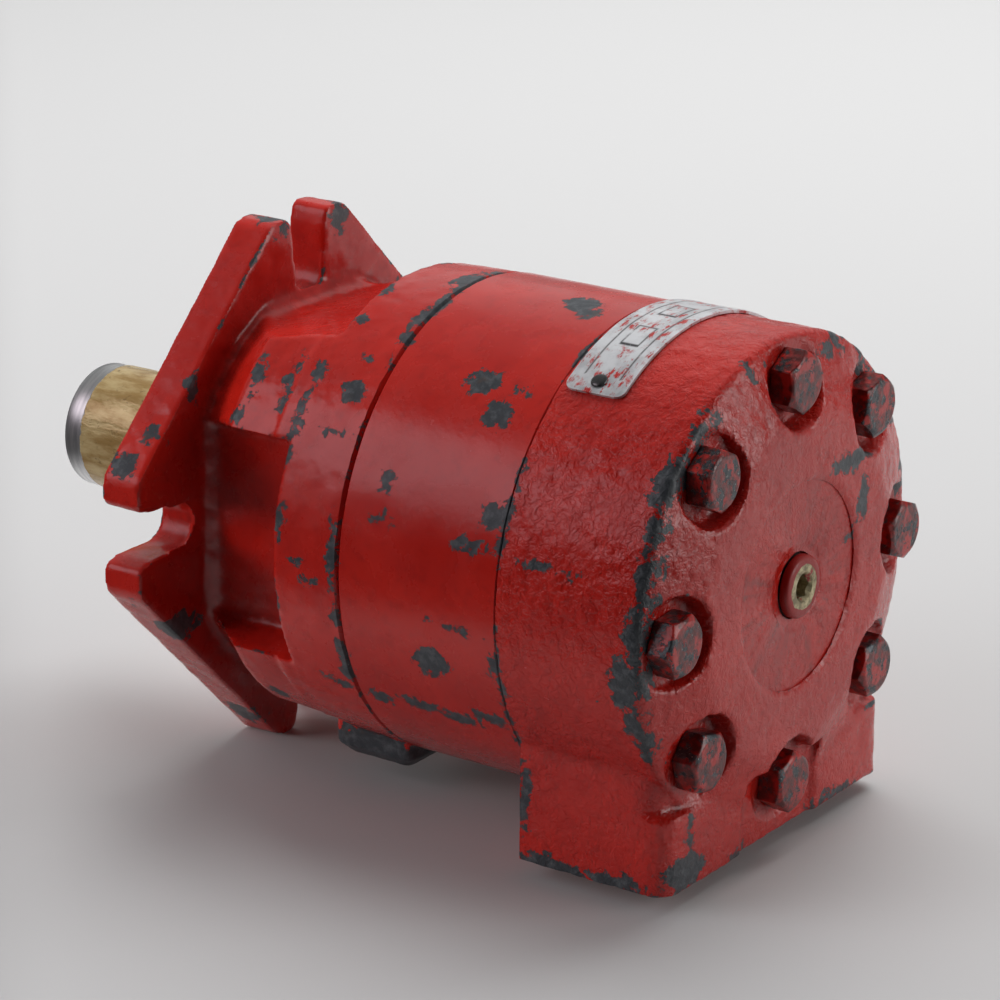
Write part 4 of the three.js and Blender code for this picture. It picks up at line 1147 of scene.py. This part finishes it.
def output_shaft():
    """The shaft with its splined bore and the centre hole in its tip."""
    tip = local_box("output_shaft")[1].x
    body = shaft_blank(tip)
    cut(body, disc(112, 125, 16.6), spline_hole(124, 144), disc(143, 150, 15.8),
        turned([(tip - 9, 0), (tip - 7, 1.6), (tip - 4, 1.6), (tip + 1, 4.6), (tip + 1, 0)], 48))
    co = coordinates(body)
    outside = np.hypot(co[:, 1], co[:, 2]) > 17
    depth = np.minimum(COAT_END - co[:, 0], co[:, 0] - SHAFT_STEP)
    store(body, "film", np.where(outside, np.clip(depth, -6, 6), -6))
    shade_smooth(body, 35)
    return place(body, "output_shaft", "shaft", "shaft_steel")


def dust_seal():
    x0 = local_box("dust_seal")[0].x
    body = turned([
        (x0, 19.4), (x0, 25.4), (x0 + 4.3, 25.4), (x0 + 4.6, 25.1), (x0 + 4.6, 22.0),
        (x0 + 5.0, 21.2), (x0 + 6.6, 20.2), (x0 + 7.0, 19.8), (x0 + 6.9, 19.4)], 160)
    shade_smooth(body, 40)
    return place(body, "dust_seal", "casing", "seal_rubber")


# ---------------- hidden pieces


def dress_hidden_nodes():
    """The pieces inside keep their CAD shape and get their own finish."""
    slots = {part["node"]: part["material_slot"] for part in frame["record"]["subparts"]}
    for node, obj in frame["nodes"].items():
        look = slots.get(node)
        if look in MATERIALS and obj.data.materials:
            for i in range(len(obj.data.materials)):
                obj.material_slots[i].material = MATERIALS[look]


# ---------------- stage

CAMERA_AZIMUTH, CAMERA_ELEVATION, CAMERA_ROLL = 215.01, 18.75, 0.37
CAMERA_DISTANCE, CAMERA_LENS, SENSOR_WIDTH = 1099.6, 140.0, 36.0
CAMERA_TARGET = (99.44, 0.0, 4.70)
MIDDLE = (0.0, 0.0, 0.07)
WHITE = (1, 1, 1)

# Each light: name, place, aim, size, watts, tint, and whether it makes highlights.
LIGHTS = [
    ("softbox", (0.86, 1.00, 0.86), MIDDLE, (1.0, 0.75), 3.7, (1.0, 0.88, 0.96), True),
    ("window", (-1.45, -0.55, 0.45), MIDDLE, (1.0, 0.9), 9.3, WHITE, True),
    ("back_card", (0.55, -1.6, 1.05), MIDDLE, (1.8, 1.2), 2.2, WHITE, True),
    ("sheet_wash", (0.3, -1.0, 1.5), (0.35, -0.9, 0), (1.6, 1.6), 38, WHITE, False),
    ("front_fill", (1.1, 0.25, 0.95), MIDDLE, (0.8, 0.8), 1.6, WHITE, False),
    ("side_fill", (1.15, 1.0, 0.30), MIDDLE, (0.8, 0.4), 11, WHITE, False),
]

SKY_BRIGHT_WAY = (0.30, -0.72, 0.62)
SKY_STOPS = ((0.0, 0.06), (0.30, 0.16), (0.62, 0.62), (1.0, 0.80))
SKY_STRENGTH = 0.36
FLOOR_REACH = 6
# The sheet's two near edges, past which the floor is painted dark to cut the bounce light and
# reflections on the motor: the way across each, and where it starts and ends in millimetres.
DARK_FLOOR_EDGES = (((0.745, 0.680, 0), 110, 210), ((-0.573, 0.819, 0), 200, 260))


def camera():
    azimuth, elevation = math.radians(CAMERA_AZIMUTH), math.radians(CAMERA_ELEVATION)
    back = Vector((math.sin(azimuth) * math.cos(elevation),
                   -math.cos(azimuth) * math.cos(elevation), math.sin(elevation)))
    right = Vector((0, 0, 1)).cross(back).normalized()
    up = back.cross(right)
    turn = Matrix((right, up, back)).transposed().to_4x4()
    turn = turn @ Matrix.Rotation(math.radians(CAMERA_ROLL), 4, "Z")
    data = bpy.data.cameras.new("camera")
    data.lens, data.sensor_width = CAMERA_LENS, SENSOR_WIDTH
    data.clip_start, data.clip_end = 0.05, 20.0
    obj = bpy.data.objects.new("camera", data)
    bpy.context.scene.collection.objects.link(obj)
    spot = ORIGIN + (Vector(CAMERA_TARGET) + back * CAMERA_DISTANCE) * MM
    obj.matrix_world = Matrix.Translation(spot) @ turn
    bpy.context.scene.camera = obj


def area_light(name, spot, aim, size, watts, tint, mirrored):
    """A rectangular light. One that isn't mirrored gives light but no highlight."""
    data = bpy.data.lights.new(name, "AREA")
    data.shape = "RECTANGLE"
    data.size, data.size_y = size
    data.energy = watts
    data.color = tint
    obj = bpy.data.objects.new(name, data)
    bpy.context.scene.collection.objects.link(obj)
    spot, aim = Vector(spot), Vector(aim)
    obj.location = spot
    obj.rotation_euler = (aim - spot).to_track_quat("-Z", "Y").to_euler()
    obj.visible_glossy = mirrored


def sky():
    """A room that is bright above and behind the motor and dark on the camera's side."""
    world = bpy.data.worlds.new("room")
    world.use_nodes = True
    tree = world.node_tree
    where = tree.nodes.new("ShaderNodeTexCoord")
    toward = tree.nodes.new("ShaderNodeVectorMath")
    toward.operation = "DOT_PRODUCT"
    toward.inputs[1].default_value = Vector(SKY_BRIGHT_WAY).normalized()
    ramp = tree.nodes.new("ShaderNodeValToRGB")
    tree.links.new(where.outputs["Generated"], toward.inputs[0])
    tree.links.new(toward.outputs["Value"], ramp.inputs[0])
    tree.links.new(ramp.outputs["Color"], tree.nodes["Background"].inputs["Color"])
    while len(ramp.color_ramp.elements) < len(SKY_STOPS):
        ramp.color_ramp.elements.new(0.5)
    for element, (at, grey) in zip(ramp.color_ramp.elements, SKY_STOPS):
        element.position = at
        element.color = (grey, grey, grey, 1)
    tree.nodes["Background"].inputs["Strength"].default_value = SKY_STRENGTH
    return world


def stage():
    """A white sheet under and behind the motor. Past its near edges the floor is painted dark, a
    painted shade that cuts the bounce light and reflections on that side of the motor.
    """
    far = FLOOR_REACH
    corners = [(-far, -far, 0), (far, -far, 0), (far, far, 0), (-far, far, 0)]
    floor = new_object("floor", corners, [[0, 1, 2, 3]])
    m = Material("floor")
    # Painted shade: the floor fades to near black past the sheet's two near edges.
    past = [m.span(m.dot(m.mm, way), start, end) for way, start, end in DARK_FLOOR_EDGES]
    painted_dark_floor = m.math("MAXIMUM", *past)
    base = m.mix(painted_dark_floor, colour(0.52, 0.52, 0.52), colour(0.04, 0.04, 0.04))
    floor.data.materials.append(m.set(Base_Color=base, Roughness=0.9))
    bpy.context.scene.world = sky()
    for light in LIGHTS:
        area_light(*light)
    bpy.context.scene.view_settings.view_transform = "Standard"


# ---------------- main

build_materials()
camera()
stage()
front_housing()
stator_ring()
end_cover()
cover_bolts()
rear_plug()
drain_plug()
nameplate()
nameplate_pins()
output_shaft()
dust_seal()
dress_hidden_nodes()
